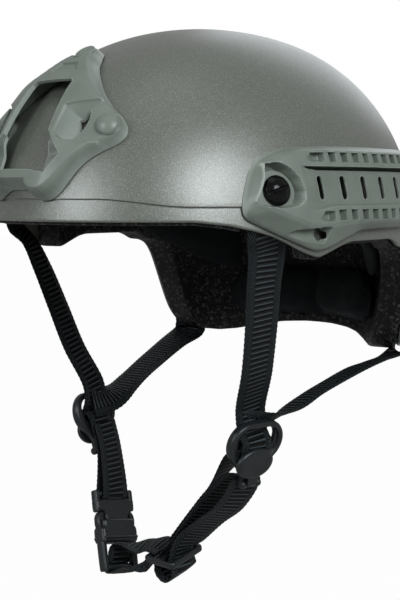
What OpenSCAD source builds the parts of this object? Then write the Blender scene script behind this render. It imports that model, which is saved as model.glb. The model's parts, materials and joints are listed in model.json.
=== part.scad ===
// Combat bump helmet: moulded shell, foam liner and pads, front shroud, two side
// rails and a four-point harness with dividers, slide and side-release buckle.
// Millimetres. +Z up, the brow faces -Y, the wearer's left is +X. The origin is
// the middle of the head opening, level with the brow edge.

/* [Shell] */
// Width of the shell at its widest level
shell_w = 215; // [205:1:225]
// Distance from the head's middle to the front of the shell
shell_front = 136; // [131:1:141]
// Distance from the head's middle to the back of the shell
shell_rear = 134; // [129:1:139]
// Height of the crown above the widest level
shell_rise = 125.5; // [121:0.5:130]
// How far the widest level lies below the brow edge
waist_drop = 24; // [21:1:27]
// Wall of the moulded shell
shell_wall = 3.5; // [2.5:0.25:4.5]
// Height of the line round the shell above the brow edge
band_h = 10.5; // [8:0.5:13]
// How far the band below that line is set back
band_step = 0.9; // [0.4:0.1:1.4]
// Depth of the edge's point in front of the ears, below the brow edge
temple_drop = 17.5; // [15:0.5:20]
// Depth of the edge over the ears, below the brow edge
ear_drop = 10.5; // [8:0.5:12]
// Depth of the edge at the middle of the nape
nape_drop = 68; // [62:1:74]
// Depth of the edge behind the ears
corner_drop = 75; // [70:1:80]

/* [Liner and pads] */
// Thickness of the foam liner
liner_t = 14; // [12:0.5:16]
// How far the foam shows below the shell's edge
liner_show = 1.5; // [0:0.5:3]
// Bevel of the liner's inner edge behind the ears, in degrees of bearing
ear_bevel = 4; // [0:0.5:6]
// Thickness of the comfort pads
pad_t = 9; // [7:0.5:11]
// Thickness of the hook discs that hold the pads
hook_t = 1.2; // [0.8:0.1:1.6]
// Radius of a hook disc
hook_r = 12; // [9:1:14]

/* [Front shroud] */
// How far the shroud stands off the shell
shroud_t = 7; // [6:0.5:8]
// Half the width of the bracket window at its top
window_top = 14; // [12:0.5:15]
// Half the width of the bracket window at its foot
window_foot = 16; // [14:0.5:17]
// Radius of a shroud screw's domed head
shroud_head_r = 5.8; // [5:0.2:6.4]

/* [Side rails] */
// How far the rail's lips stand off the shell
rail_t = 8.5; // [7.5:0.25:9.5]
// Depth of the accessory channel between the lips
channel_depth = 3.4; // [2.6:0.2:4]
// Distance between neighbouring channel slots
slot_pitch = 16; // [14:0.5:17]
// Number of channel slots
slot_count = 6; // [4:1:6]
// Width of a channel slot
slot_w = 1.8; // [1.4:0.2:2.6]
// Distance between neighbouring lip pockets
pocket_pitch = 8.5; // [8:0.25:9.5]
// Number of pockets in the upper lip
pocket_count = 11; // [6:1:11]
// Radius of the lanyard hole
lanyard_r = 3; // [2.4:0.1:3.4]
// Radius of a rail screw's domed head
rail_head_r = 7.2; // [6.4:0.2:7.8]

/* [Fasteners] */
// Radius of a screw's shank
shank_r = 2.4; // [2:0.1:2.8]
// Radius of a nut's barrel
barrel_r = 3.6; // [3.4:0.1:4]
// Radius of a nut's flange
flange_r = 7; // [6:0.5:8]
// Gap between a screw and what it passes through
screw_gap = 0.1; // [0.05:0.05:0.2]

/* [Harness] */
// Width of the webbing
web_w = 20; // [18:0.5:21]
// Thickness of the webbing
web_t = 1.4; // [1:0.1:1.6]
// Gap that keeps neighbouring pieces apart
fit_gap = 0.35; // [0.3:0.05:0.5]
// Width of a strap divider
divider_w = 36; // [34:0.5:38]
// Width of the buckle's body
buckle_w = 30; // [28:0.5:31]
// Distance from the buckle's upper strap bar to its lower one
buckle_len = 44; // [42:0.5:46]
// Width of the slide across the webbing
slide_w = 26; // [25:0.5:28]
// Length of the slide along the webbing
slide_len = 22; // [21:0.5:23]

/* [Hidden] */

shell_paint = "#6f7369";
moulding = "#737a71";
foam_black = "#2b2b2b";
cloth_black = "#3a3c3d";
web_black = "#24272a";
plastic_black = "#1d2023";
screw_black = "#101112";

// Powers of the dome's plan and side outlines: 2 is an ellipse, more is fuller
plan_power = 2.1;
front_power = 2.15;
rear_power = 2.3;
// How much the shell tucks in below its widest level
tuck = 0.35;

// Bearings run round the head from the brow (-90) past the left ear (0) to the
// nape (90). EDGE gives the level of the shell's edge at each bearing.
EDGE = [
    [-90, 0], [-55, 0], [-44, 0], [-36, -temple_drop * 0.1],
    [-30, -temple_drop * 0.25], [-26, -temple_drop * 0.39],
    [-22, -temple_drop * 0.6], [-18, -temple_drop * 0.83],
    [-15.5, -temple_drop * 0.95], [-13.7, -temple_drop],
    [-12, -temple_drop * 0.93], [-6, -ear_drop * 1.1], [-3.5, -ear_drop],
    [4, -ear_drop], [11, -ear_drop], [13.4, -ear_drop - 1.7],
    [15.6, -ear_drop - 4.6], [18.6, -ear_drop - 5.2], [20.8, -ear_drop - 7.5],
    [22.4, -ear_drop - 11.2], [23.8, -ear_drop - 17.3],
    [25.5, -corner_drop * 0.52], [27.3, -corner_drop * 0.69],
    [29, -corner_drop * 0.827], [31, -corner_drop * 0.917],
    [33.3, -corner_drop * 0.959], [37, -corner_drop * 0.987],
    [43, -corner_drop], [50, -corner_drop * 0.99], [56, -corner_drop * 0.97],
    [62, -corner_drop * 0.944], [70, -nape_drop - 1.2], [80, -nape_drop - 0.2],
    [90, -nape_drop]];

// Fastener places: bearing and level
rail_front_at = [-27.2, 16];
rail_rear_at = [36, 15];
shroud_wing_at = [-66.5, 41.5];
shroud_top_at = [-90, 77];

// Offsets from the shell's outer face, outward positive. Skins that only follow
// each other roughly keep skin_gap, and what sits on the shell keeps mount_gap.
skin_gap = 0.7;
mount_gap = 0.4;
shell_in = -shell_wall;
liner_out = shell_in - skin_gap;
liner_in = liner_out - liner_t;
hook_out = liner_in - skin_gap;
hook_in = hook_out - hook_t;
pad_out = hook_in - fit_gap;
strap_off = shell_in - skin_gap - web_t / 2;
strap_flange = strap_off - web_t / 2 - skin_gap;
bare_flange = shell_in - skin_gap - 0.3;
flange_t = 1.2;
barrel_top = -0.2;

// Small functions

function unit(v) = v / norm(v);
function mix(a, b, f) = a + (b - a) * f;
function signed_pow(v, e) = sign(v) * pow(abs(v), e);
function flatten(rows) = [for (row = rows) each row];
function turn_x(p, a) = [p.x, p.y * cos(a) - p.z * sin(a), p.y * sin(a) + p.z * cos(a)];
function turn_y(p, a) = [p.x * cos(a) + p.z * sin(a), p.y, p.z * cos(a) - p.x * sin(a)];
function turn_z(p, a) = [p.x * cos(a) - p.y * sin(a), p.x * sin(a) + p.y * cos(a), p.z];

// The dome that every skin follows

function side_power(b) = mix(front_power, rear_power, (1 + sin(b)) / 2);
function girth(b, z, off) =
    let (h = shell_rise + off, s = (z + waist_drop) / h, m = side_power(b))
    s >= 0 ? pow(max(0, 1 - pow(s, m)), 1 / m) : 1 - tuck * s * s;
function crown_z(off) = shell_rise + off - waist_drop;
function reach(back, off) = (back < 0 ? shell_front : shell_rear) + off;
function dome(b, z, off) = let (g = girth(b, z, off))
    [(shell_w / 2 + off) * signed_pow(cos(b), 2 / plan_power) * g,
     reach(sin(b), off) * signed_pow(sin(b), 2 / plan_power) * g, z];
function dome_normal(b, z) =
    unit(cross(dome(b + 0.5, z, 0) - dome(b - 0.5, z, 0),
               dome(b, z + 0.5, 0) - dome(b, z - 0.5, 0)));
function off_dome(b, z, off) = dome(b, z, 0) + off * dome_normal(b, z);
function bearing_from(y, z, off, b) = asin(signed_pow(
    max(-1, min(1, y / reach(y, off) / girth(b, z, off))), plan_power / 2));
function bearing_of(y, z, off = 0) = bearing_from(y, z, off, bearing_from(y, z, off, 0));
function side_point(y, z, off) = dome(bearing_of(y, z, off), z, off);
// The edge's level; lead holds it back behind the ear, where the liner is bevelled
function edge_z(b, lead = 0) =
    let (turn = asin(sin(b))) lookup(turn > 0 ? max(turn - lead, 0) : turn, EDGE);

// Bearings right round the head, with no gap wider than step
function half_round(step) = [for (i = [0 : len(EDGE) - 2])
    let (a = EDGE[i][0], c = EDGE[i + 1][0], n = ceil((c - a) / step))
    for (k = [0 : n - 1]) a + (c - a) * k / n];
function all_round(step) = let (h = half_round(step))
    concat(h, [for (i = [0 : len(h) - 1]) i == 0 ? 90 : 180 - h[len(h) - i]]);
function row_at(bearings, z, off) = [for (b = bearings) dome(b, z, off)];

// Puts children on the dome: local z points out, x down the slope, y rearwards
module on_dome(at, off = 0) {
    n = dome_normal(at[0], at[1]);
    translate(dome(at[0], at[1], 0) + off * n)
        rotate([0, acos(n.z), atan2(n.y, n.x)])
            children();
}

module both_sides() {
    children();
    mirror([1, 0, 0]) children();
}

// A closed skin: rows of points climb the outer face to its pole, then run from
// the inner pole back down the inner face
module bowl(outer, outer_pole, inner_pole, inner) {
    n = len(outer[0]);
    rows = len(outer) + len(inner);
    function strip(a, c) = [for (j = [0 : n - 1]) let (k = (j + 1) % n)
        each [[a * n + j, c * n + j, c * n + k], [a * n + j, c * n + k, a * n + k]]];
    top = (len(outer) - 1) * n;
    polyhedron(
        concat(flatten(outer), flatten(inner), [outer_pole, inner_pole]),
        concat(
            [for (r = [0 : rows - 2]) if (r != len(outer) - 1) each strip(r, r + 1)],
            strip(rows - 1, 0),
            [for (j = [0 : n - 1]) [top + j, rows * n, top + (j + 1) % n]],
            [for (j = [0 : n - 1])
                [rows * n + 1, top + n + j, top + n + (j + 1) % n]]));
}

// A closed skin through sections, each a loop of points seen clockwise from the
// last section, with a point in each end cap
module loft(sections, first_cap, last_cap) {
    n = len(sections[0]);
    rows = len(sections);
    polyhedron(
        concat(flatten(sections), [first_cap, last_cap]),
        concat(
            [for (r = [0 : rows - 2], j = [0 : n - 1])
                let (a = r * n + j, b = r * n + (j + 1) % n)
                each [[a, b, b + n], [a, b + n, a + n]]],
            [for (j = [0 : n - 1]) [rows * n, (j + 1) % n, j]],
            [for (j = [0 : n - 1])
                let (e = (rows - 1) * n) [rows * n + 1, e + j, e + (j + 1) % n]]));
}

// A closed ring-shaped skin: each row is a loop round the middle hole
module torus(rows) {
    n = len(rows[0]);
    count = len(rows);
    polyhedron(flatten(rows),
        [for (r = [0 : count - 1], j = [0 : n - 1])
            let (a = r * n, c = (r + 1) % count * n, k = (j + 1) % n)
            each [[a + j, c + j, c + k], [a + j, c + k, a + k]]]);
}

// Shell: an edge that rolls in, a set-back band, the dome, and an even wall

module shell_skin() {
    bearings = all_round(6);
    band_top = band_h + 0.4;
    outer = concat(
        [[for (b = bearings) dome(b, edge_z(b), -band_step - 0.9)]],
        [for (f = [0, 0.35, 0.7, 1]) [for (b = bearings)
            dome(b, mix(edge_z(b) + 1.2, band_h, f), -band_step)]],
        [for (f = [0 : 0.1 : 0.95])
            row_at(bearings, mix(band_top, crown_z(0), sin(90 * f)), 0)]);
    inner = lattice(bearings, shell_in, 0);
    bowl(outer, [0, 0, crown_z(0)], [0, 0, crown_z(shell_in)],
        [for (r = [len(inner) - 1 : -1 : 0]) inner[r]]);
}

// Rows from the edge to near the crown. The shell's inner face and the liner use
// the same bearings and levels, so their faces run side by side.
function lattice(bearings, off, below, lead = 0) = concat(
    [for (f = [0 : 0.25 : 0.8]) [for (b = bearings)
        dome(b, mix(edge_z(b, lead) - below, band_h, f), off)]],
    [for (f = [0 : 0.125 : 0.9])
        row_at(bearings, mix(band_h, crown_z(off), sin(90 * f)), off)]);

module shell() {
    color(shell_paint) difference() {
        shell_skin();
        both_sides() for (at = [rail_front_at, rail_rear_at, shroud_wing_at])
            barrel_hole(at);
        barrel_hole(shroud_top_at);
    }
}

module barrel_hole(at) {
    on_dome(at, shell_in * 2) cylinder(r = barrel_r + fit_gap, h = 4 * shell_wall, $fn = 32);
}

// Foam liner: follows the shell, with channels for the straps and pockets for
// the nuts, and a gap in its edge where each front strap comes out

module liner_skin() {
    bearings = all_round(6);
    inner = lattice(bearings, liner_in, liner_show, ear_bevel);
    bowl(lattice(bearings, liner_out, liner_show), [0, 0, crown_z(liner_out)],
        [0, 0, crown_z(liner_in)], [for (r = [len(inner) - 1 : -1 : 0]) inner[r]]);
}

module foam_liner() {
    color(foam_black) difference() {
        liner_skin();
        both_sides() {
            strap_channel(FRONT_INSIDE);
            strap_channel(REAR_INSIDE);
            for (at = [rail_front_at, rail_rear_at]) nut_pocket(at, strap_flange);
            nut_pocket(shroud_wing_at, bare_flange);
            on_dome([-24, -12], liner_out - liner_t / 2)
                cube([30, web_w + 5, liner_t + 8], center = true);
        }
        nut_pocket(shroud_top_at, bare_flange);
    }
}

module nut_pocket(at, flange_off) {
    on_dome(at, flange_off - flange_t - 1.5)
        cylinder(r = flange_r + 1, h = flange_t + 5, $fn = 32);
}

// The straps' run inside the shell: bearing and level of each station
FRONT_INSIDE = [[rail_front_at[0], rail_front_at[1] + 10], rail_front_at,
    [-25.8, 4], [-24.4, -5], [-23, -12]];
REAR_INSIDE = [[rail_rear_at[0], rail_rear_at[1] + 10], rail_rear_at,
    [36, 0], [36, -18], [36, -36], [36, -54], [36, -66], [36, -76.5]];

// A station of webbing: its middle, the way its width runs, how far its edges dip
function level_way(at) = let (n = dome_normal(at[0], at[1])) unit([-n.y, n.x, 0]);
function inside_run(path) = [for (at = path)
    [off_dome(at[0], at[1], strap_off), level_way(at), web_w * web_w / 800]];

// Webbing through its stations, creased along its middle where it wraps the head
module webbing(stations, width = web_w, thick = web_t) {
    last = len(stations) - 1;
    function way(i) = unit(stations[min(i + 1, last)][0] - stations[max(i - 1, 0)][0]);
    function section(i) =
        let (p = stations[i][0], w = unit(stations[i][1]), n = unit(cross(way(i), w)),
             dip = stations[i][2] == undef ? 0 : stations[i][2])
        [for (s = [[-1, 1], [0, 1], [1, 1], [1, -1], [0, -1], [-1, -1]])
            p + w * s[0] * width / 2 + n * (s[1] * thick / 2 - abs(s[0]) * dip)];
    loft([for (i = [0 : last]) section(i)], stations[0][0], stations[last][0]);
}

// The channel runs a little past both ends of the strap
module strap_channel(path) {
    last = path[len(path) - 1];
    webbing(inside_run(concat([path[0] + [0, 3]], path, [last - [0, 6]])),
        web_w + 4, 2 * (web_t + 1.2));
}

// Pads: a cushion lies on the liner, crowned towards the head, with its sides
// drawn in and its corners rounded. Its level may fall along its length (slope)
// and at both its ends (droop).

module cushion(at, half, thick, base = pad_out, round_steps = 28, slope = 0, droop = 0) {
    fullness = 2 / 3.2;
    function ring(r, off) = [for (k = [0 : round_steps - 1])
        let (a = 360 * k / round_steps, c = r * signed_pow(cos(a), fullness),
             s = r * signed_pow(sin(a), fullness))
        dome(at[0] + half[0] * c, at[1] + half[1] * s - slope * c - droop * c * c, off)];
    outer = [for (r = [0.94, 0.62, 0.3]) ring(r, base)];
    inner = [for (s = [[0.3, 1], [0.6, 0.94], [0.8, 0.84], [0.93, 0.66], [1, 0.36]])
        ring(s[0], base - thick * s[1])];
    bowl(outer, dome(at[0], at[1], base), dome(at[0], at[1], base - thick), inner);
}

side_pad_at = [32, -6];
nape_pad_at = [90, -49];
nape_panel_at = [71.5, -47.5];

module brow_pad() {
    color(cloth_black) cushion([-90, 24], [44, 15], pad_t, round_steps = 40);
}

module crown_pad() {
    bearings = [for (k = [0 : 31]) k * 11.25];
    drop = 9;
    function ring(f, off) = row_at(bearings, crown_z(off) - drop * f, off);
    color(cloth_black) bowl(
        [for (f = [0.95, 0.5, 0.15]) ring(f, pad_out)],
        [0, 0, crown_z(pad_out)], [0, 0, crown_z(pad_out - pad_t)],
        [for (s = [[0.1, 1], [0.35, 0.94], [0.7, 0.8], [0.92, 0.62], [1, 0.36]])
            ring(s[0], pad_out - pad_t * s[1])]);
}

module side_pad() { cushion(side_pad_at, [25, 20], pad_t, round_steps = 36, slope = 19); }
module side_pad_left() { color(cloth_black) side_pad(); }
module side_pad_right() { color(cloth_black) mirror([1, 0, 0]) side_pad(); }

// Nape pad: a thin moulded base with two raised panels and a groove between
module nape_pad() {
    base_t = 3;
    color(cloth_black) union() {
        cushion(nape_pad_at, [41, 17], base_t, droop = 5);
        both_sides()
            cushion(nape_panel_at, [18.2, 15], pad_t, pad_out - base_t / 2, 24);
    }
}

// Hook discs between the pads and the liner
hook_places = [[-90, 24], [-62, 24], [-118, 24], [22, 2], [43, -14], [158, 2],
    [137, -14], [70, -48], [110, -48]];
module hook_disc(at) {
    mid = (liner_in + pad_out) / 2;
    reach_b = hook_r / norm(dome(at[0] + 0.5, at[1], mid) - dome(at[0] - 0.5, at[1], mid));
    function ring(off) = [for (a = [0 : 24 : 359])
        dome(at[0] + reach_b * cos(a), at[1] + hook_r * sin(a), off)];
    bowl([ring(hook_out)], dome(at[0], at[1], hook_out),
        dome(at[0], at[1], hook_in), [ring(hook_in)]);
}
module crown_disc() {
    bearings = [for (k = [0 : 15]) k * 22.5];
    bowl([row_at(bearings, crown_z(hook_out) - 0.5, hook_out)],
        [0, 0, crown_z(hook_out)], [0, 0, crown_z(hook_in)],
        [row_at(bearings, crown_z(hook_in) - 0.5, hook_in)]);
}
module hook_discs() {
    color(web_black) {
        for (at = hook_places) hook_disc(at);
        crown_disc();
    }
}

// Screws and nuts. The head rests at seat, the nut's flange lies at flange_off

module domed_head(r, h) {
    ball = (r * r + h * h) / (2 * h);
    intersection() {
        cylinder(r = r, h = h, $fn = 48);
        translate([0, 0, h - ball]) sphere(r = ball, $fn = 64);
    }
}

module screw(at, seat, flange_off, head_r, head_h, slot = 0) {
    below = flange_off - flange_t - 0.6;
    on_dome(at, 0) {
        difference() {
            translate([0, 0, seat]) {
                cylinder(r = head_r, h = 0.9, $fn = 48);
                translate([0, 0, 0.9]) domed_head(head_r, head_h - 0.9);
            }
            if (slot > 0) translate([0, 0, seat + head_h]) rotate([0, 0, 50])
                cube([3 * head_r, slot, 2.4], center = true);
        }
        translate([0, 0, below]) cylinder(r = shank_r, h = seat - below + 0.2, $fn = 32);
    }
}

module nut(at, flange_off, top) {
    on_dome(at, 0) difference() {
        union() {
            translate([0, 0, flange_off - flange_t])
                cylinder(r = flange_r, h = flange_t, $fn = 48);
            translate([0, 0, flange_off - 0.2])
                cylinder(r = barrel_r, h = top - flange_off + 0.2, $fn = 32);
        }
        translate([0, 0, flange_off - 3])
            cylinder(r = shank_r + screw_gap, h = 12, $fn = 32);
    }
}

// Front shroud: a plate over the brow with a window for a bracket, two wings and
// an open foot. Its outline is laid out on a plane that leans back with the brow.
lean = 60;
strut_rise = 2.5;
shroud_edge = 3.2;
shroud_chamfer = 3.2;
shroud_mid = [0, -22];

// Right half of the outline, from the middle of the foot to the top
SHROUD_HALF = [[0, -53], [8, -53], [14.3, -57.6], [22, -57], [25.8, -54.5], [28.6, -51],
    [31, -45.5], [33.5, -39.9], [37, -33.8], [41.5, -29], [46.5, -24], [48.6, -19.5],
    [47.6, -15], [44, -10.3], [37.1, -5.6], [28.3, 2.1], [18.5, 12.5], [11.5, 20],
    [9.5, 25.5], [9, 31], [6, 35.3], [0, 36.5]];
SHROUD_OUTLINE = concat(SHROUD_HALF,
    [for (i = [len(SHROUD_HALF) - 2 : -1 : 1]) [-SHROUD_HALF[i].x, SHROUD_HALF[i].y]]);

// How full the dome at an offset is at a point: below 1 is inside it
function fill(p, off) =
    let (u = pow(pow(abs(p.x) / (shell_w / 2 + off), plan_power)
               + pow(abs(p.y) / reach(p.y, off), plan_power), 1 / plan_power),
         b = asin(sign(p.y) * pow(abs(p.y) / reach(p.y, off) / u, plan_power / 2)))
    p.z + waist_drop >= shell_rise + off ? 2 : u / max(girth(b, p.z, off), 0.001);
function lean_point(v, t) = turn_x([v.x, v.y, t], lean);
function lean_depth(v, off, lo = 20, hi = 200, n = 18) =
    let (m = (lo + hi) / 2)
    n == 0 ? m : fill(lean_point(v, m), off) < 1
        ? lean_depth(v, off, m, hi, n - 1) : lean_depth(v, off, lo, m, n - 1);
function on_brow(v, off) = lean_point(v, lean_depth(v, off));
function shroud_h(v) = shroud_t + strut_rise * max(0, min(1, (32 - abs(v.x)) / 12));
function inset(loop, d) = let (n = len(loop)) [for (i = [0 : n - 1])
    let (t = unit(loop[(i + 1) % n] - loop[(i + n - 1) % n])) loop[i] + d * [-t.y, t.x]];

module shroud_skin() {
    top = inset(SHROUD_OUTLINE, shroud_chamfer);
    function shrink(f) = [for (v = top) shroud_mid + f * (v - shroud_mid)];
    under = [for (f = [0.28, 0.52, 0.76]) [for (v = shrink(f)) on_brow(v, skin_gap)]];
    torus(concat(
        [[for (v = SHROUD_OUTLINE) on_brow(v, mount_gap + 0.1)]],
        [[for (v = SHROUD_OUTLINE) on_brow(v, shroud_edge)]],
        [for (f = [1, 0.76, 0.52, 0.28]) [for (v = shrink(f)) on_brow(v, shroud_h(v))]],
        under));
}

// A cut straight through the leaning plane, from a depth below the plate's face
module brow_cut(points, from_off) {
    mid = [for (k = [0, 1]) (max([for (p = points) p[k]]) + min([for (p = points) p[k]])) / 2];
    rotate([lean, 0, 0]) translate([0, 0, lean_depth(mid, from_off)])
        linear_extrude(60) polygon(points);
}

module shroud() {
    wing_seat = shroud_t - 0.7;
    color(moulding) difference() {
        shroud_skin();
        rotate([lean, 0, 0]) linear_extrude(200) polygon([
            [-window_top, 2], [-window_top - 2.5, -28], [-window_foot, -47.5],
            [window_foot, -47.5], [window_top + 2.5, -28], [window_top, 2]]);
        both_sides() {
            brow_cut([[window_top, -26], [window_top + 2.5, -28], [25.4, -38.2],
                [20.9, -47.5], [window_foot - 2, -47.5]], 4.5);
            brow_cut([[22, -13.5], [37, -5], [29.5, -13], [31, -18], [26, -24],
                [21.5, -29.5]], 3);
            brow_cut([[27.5, -14], [30, -17], [26.5, -22]], -4);
            fastener_seat(shroud_wing_at, wing_seat, shroud_head_r + 0.5);
        }
        brow_cut([[-8, 13], [8, 13], [4.5, 18.5], [-4.5, 18.5]], shroud_t);
        fastener_seat(shroud_top_at, wing_seat + strut_rise, shroud_head_r + 0.5);
    }
}

// A flat seat for a head, and the hole for its shank
module fastener_seat(at, seat, r) {
    on_dome(at, 0) {
        translate([0, 0, seat]) cylinder(r = r, h = 20, $fn = 48);
        translate([0, 0, -6]) cylinder(r = shank_r + screw_gap, h = 30, $fn = 32);
    }
}

module shroud_screws() {
    seat = shroud_t - 0.7 + 0.05;
    color(moulding) {
        both_sides() screw(shroud_wing_at, seat, bare_flange, shroud_head_r, 3.4);
        screw(shroud_top_at, seat + strut_rise, bare_flange, shroud_head_r, 3.4);
    }
}

module shroud_nuts() {
    color(screw_black) {
        both_sides() nut(shroud_wing_at, bare_flange, barrel_top);
        nut(shroud_top_at, bare_flange, barrel_top);
    }
}

// Side rails. The rail is a run of upright sections from nose to tail; between
// channel_from and channel_to the middle of each section drops into the channel.
RAIL_TOP = [[-76, 7], [-74.8, 11], [-72.8, 15.4], [-69.8, 22.3], [-64.6, 28.4],
    [-55.7, 32.6], [-46.1, 34.8], [-32.8, 35.7], [-13.6, 36.1], [84, 36.1],
    [90, 33], [94, 26]];
RAIL_FOOT = [[-76, 4.4], [-75.2, 2.3], [-72.5, 0.2], [-57.9, -6.9], [-42.2, -13.1],
    [-38.2, -14], [-33.9, -13.2], [-24.8, -10.1], [-12.3, -6], [-5.9, -4.5],
    [84, -4.5], [90, -1.5], [94, 5]];
rail_stations = [-76, -75.3, -74, -71.5, -68, -64.6, -60, -55.7, -51.5, -46, -42.2,
    -38.2, -33.9, -28, -20, -12.3, -5.9, 3, 12, 23, 34, 45, 55, 61, 66, 72, 78, 84, 88,
    91.5, 94];
channel_low = 7.5;
channel_high = 24.8;
lip_low = 23.4;
channel_from = -52;
channel_to = 66;
slots_from = -36.5;
pockets_from = -28.2;
rail_seat = rail_t - 4;
rail_edge = 3.3;

function rail_h(y) = lookup(y, [[-76, rail_edge], [-70, rail_t], [87, rail_t],
    [94, rail_edge + 0.6]]);
function channel_floor(y) = rail_h(y) - lookup(y, [[channel_from, 0], [channel_from + 14,
    channel_depth], [channel_to - 6, channel_depth], [channel_to, 0]]);
function rail_plain(y) = y <= channel_from || y >= channel_to;
// Levels of a section's outer rows. Past the channel's ends they spread evenly;
// along the channel they keep to its floor and to the lip that hangs over it.
function rail_levels(y, a, b) = let (c = (rail_h(y) - channel_floor(y)) / channel_depth)
    rail_plain(y) ? [for (f = [0.08, 0.18, 0.22, 0.46, 0.72, 0.76, 0.85]) mix(a, b, f)]
    : [mix(a, channel_low, 0.5), channel_low, channel_low + 0.4,
       mix(channel_low, channel_high, 0.5), channel_high,
       channel_high + mix(0.6, lip_low - channel_high, c),
       channel_high + mix(2, lip_low + 0.5 - channel_high, c)];
function rail_section(y) =
    let (top = lookup(y, RAIL_TOP), foot = lookup(y, RAIL_FOOT), h = rail_h(y),
         f = channel_floor(y), e = min(rail_edge, h - 0.1), tall = top - foot,
         a = foot + min(lookup(y, [[-20, 6.5], [-5, 4.5]]), tall * 0.3),
         b = top - min(2.3, tall * 0.3), z = rail_levels(y, a, b),
         under = [for (k = [0.25, 0.5, 0.75]) [mix(top, foot, k), mount_gap]])
    [for (s = concat([[foot, mount_gap], [foot, e], [a, h], [z[0], h], [z[1], h],
            [z[2], f], [z[3], f], [z[4], f], [z[5], mix(f, h, 0.7)], [z[6], h],
            [b, h], [top, e], [top, mount_gap]], under))
        side_point(y, s[0], s[1])];

module rail_skin() {
    sections = [for (y = rail_stations) rail_section(y)];
    last = len(rail_stations) - 1;
    function middle(y) = side_point(y, (lookup(y, RAIL_TOP) + lookup(y, RAIL_FOOT)) / 2,
        (rail_h(y) + mount_gap) / 2);
    loft(sections, middle(rail_stations[0]), middle(rail_stations[last]));
}

module on_side(y, z, off) {
    on_dome([bearing_of(y, z), z], off) children();
}

module rail() {
    pocket = [4.3, 4.8, 12];
    pocket_floor = rail_t - 1.6;
    recess_floor = 3.6;
    upper_z = 28;
    lower_z = 1.8;
    difference() {
        rail_skin();
        // Slots through the channel's floor
        for (i = [0 : slot_count - 1]) on_side(slots_from + i * slot_pitch, 15.8, 0) {
            cube([10 - slot_w, slot_w, 30], center = true);
            for (s = [-1, 1]) translate([s * (5 - slot_w / 2), 0, -15])
                cylinder(d = slot_w, h = 30, $fn = 16);
        }
        // Pockets in the upper and the lower lip
        for (i = [0 : pocket_count - 1]) {
            on_side(pockets_from + i * pocket_pitch, upper_z, pocket_floor)
                translate([-pocket.x / 2, -pocket.y / 2, 0]) cube(pocket);
            on_side(pockets_from + 1 + i * pocket_pitch, lower_z, pocket_floor)
                translate([-pocket.x / 2, -pocket.y / 2, 0]) cube(pocket);
        }
        // Long tapered pockets that lead in
        lead_in(pockets_from - 10, upper_z, 11.5);
        lead_in(pockets_from - 8.2, lower_z, 9.5);
        rail_socket(rail_front_at);
        rail_socket(rail_rear_at);
        // Lanyard hole in its three-cornered recess
        on_side(-36.9, -6.1, 0) {
            translate([0, 0, -3]) cylinder(r = lanyard_r, h = recess_floor + 3.1, $fn = 48);
            translate([0, 0, recess_floor]) linear_extrude(12) polygon([[-0.5, -17],
                [-3, -13], [-3.8, -4], [-3.8, 3.6], [4.6, 3.6], [4, -4], [2.4, -12], [0.5, -17]]);
        }
    }
}

module lead_in(y, z, length) {
    on_side(y, z, rail_t) rotate([-8, 0, 0]) translate([-2.1, -length / 2, -0.9])
        cube([4.2, length, 6]);
}

module rail_socket(at) {
    fastener_seat(at, rail_seat, rail_head_r + 2.6);
    on_dome(at, rail_seat) linear_extrude(20)
        polygon([[0, 0], [-9, -5], [-11.5, -1.5], [-11, 4]]);
}

module rail_left() { color(moulding) rail(); }
module rail_right() { color(moulding) mirror([1, 0, 0]) rail(); }

module rail_screw(at) {
    screw(at, rail_seat + 0.05, strap_flange, rail_head_r, 4.6, 1.3);
}
module rail_front_screws() { color(screw_black) both_sides() rail_screw(rail_front_at); }
module rail_rear_screws() { color(screw_black) both_sides() rail_screw(rail_rear_at); }
module rail_nuts() {
    color(screw_black) both_sides() for (at = [rail_front_at, rail_rear_at])
        nut(at, strap_flange, barrel_top);
}

// Strap dividers: a frame with an opening and a round hinged cap over the strap
divider_at = [60, -30, -117];
divider_roll = -10;
divider_tip = 105;
divider_plate = 1.1;
rim_out = 2.8;
rim_in = 2.3;
rim_w = 3;
cap_at = 9;
cap_pin_x = 20.4;
cap_pin_z = rim_out - 0.6;
pin_r = 0.9;
pin_clear = 0.1;

module at_divider() {
    translate(divider_at) rotate([0, 0, divider_roll]) rotate([0, divider_tip, 0]) children();
}
function in_divider(p) = divider_at + turn_z(turn_y(p, divider_tip), divider_roll);
function divider_way(p) = turn_z(turn_y(p, divider_tip), divider_roll);

module divider_outline(grow = 0) {
    hull() {
        for (s = [-1, 1]) translate([-5, s * (divider_w / 2 - 9)]) circle(r = 9 + grow, $fn = 48);
        translate([11, 0]) circle(r = 7 + grow, $fn = 48);
    }
}

module divider() {
    knuckle = 2.1;
    knuckle_w = 2.6;
    arm = 7;
    difference() {
        union() {
            translate([0, 0, -divider_plate]) linear_extrude(2 * divider_plate) divider_outline();
            translate([0, 0, -rim_in]) linear_extrude(rim_in + rim_out) difference() {
                divider_outline();
                divider_outline(-rim_w);
            }
            // Outer knuckles of the cap's hinge, on short arms from the rim
            for (s = [-1, 1]) translate([cap_pin_x, s * 5, cap_pin_z]) {
                rotate([90, 0, 0]) cylinder(r = knuckle, h = knuckle_w, center = true, $fn = 32);
                translate([-arm / 2, 0, -1.4]) cube([arm, knuckle_w, 2.8], center = true);
            }
        }
        translate([-10.5, -web_w / 2 - 1, -5]) cube([13.5, web_w + 2, 10]);
        translate([cap_pin_x, 0, cap_pin_z]) rotate([90, 0, 0])
            cylinder(r = pin_r + pin_clear, h = 20, center = true, $fn = 32);
    }
}

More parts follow.
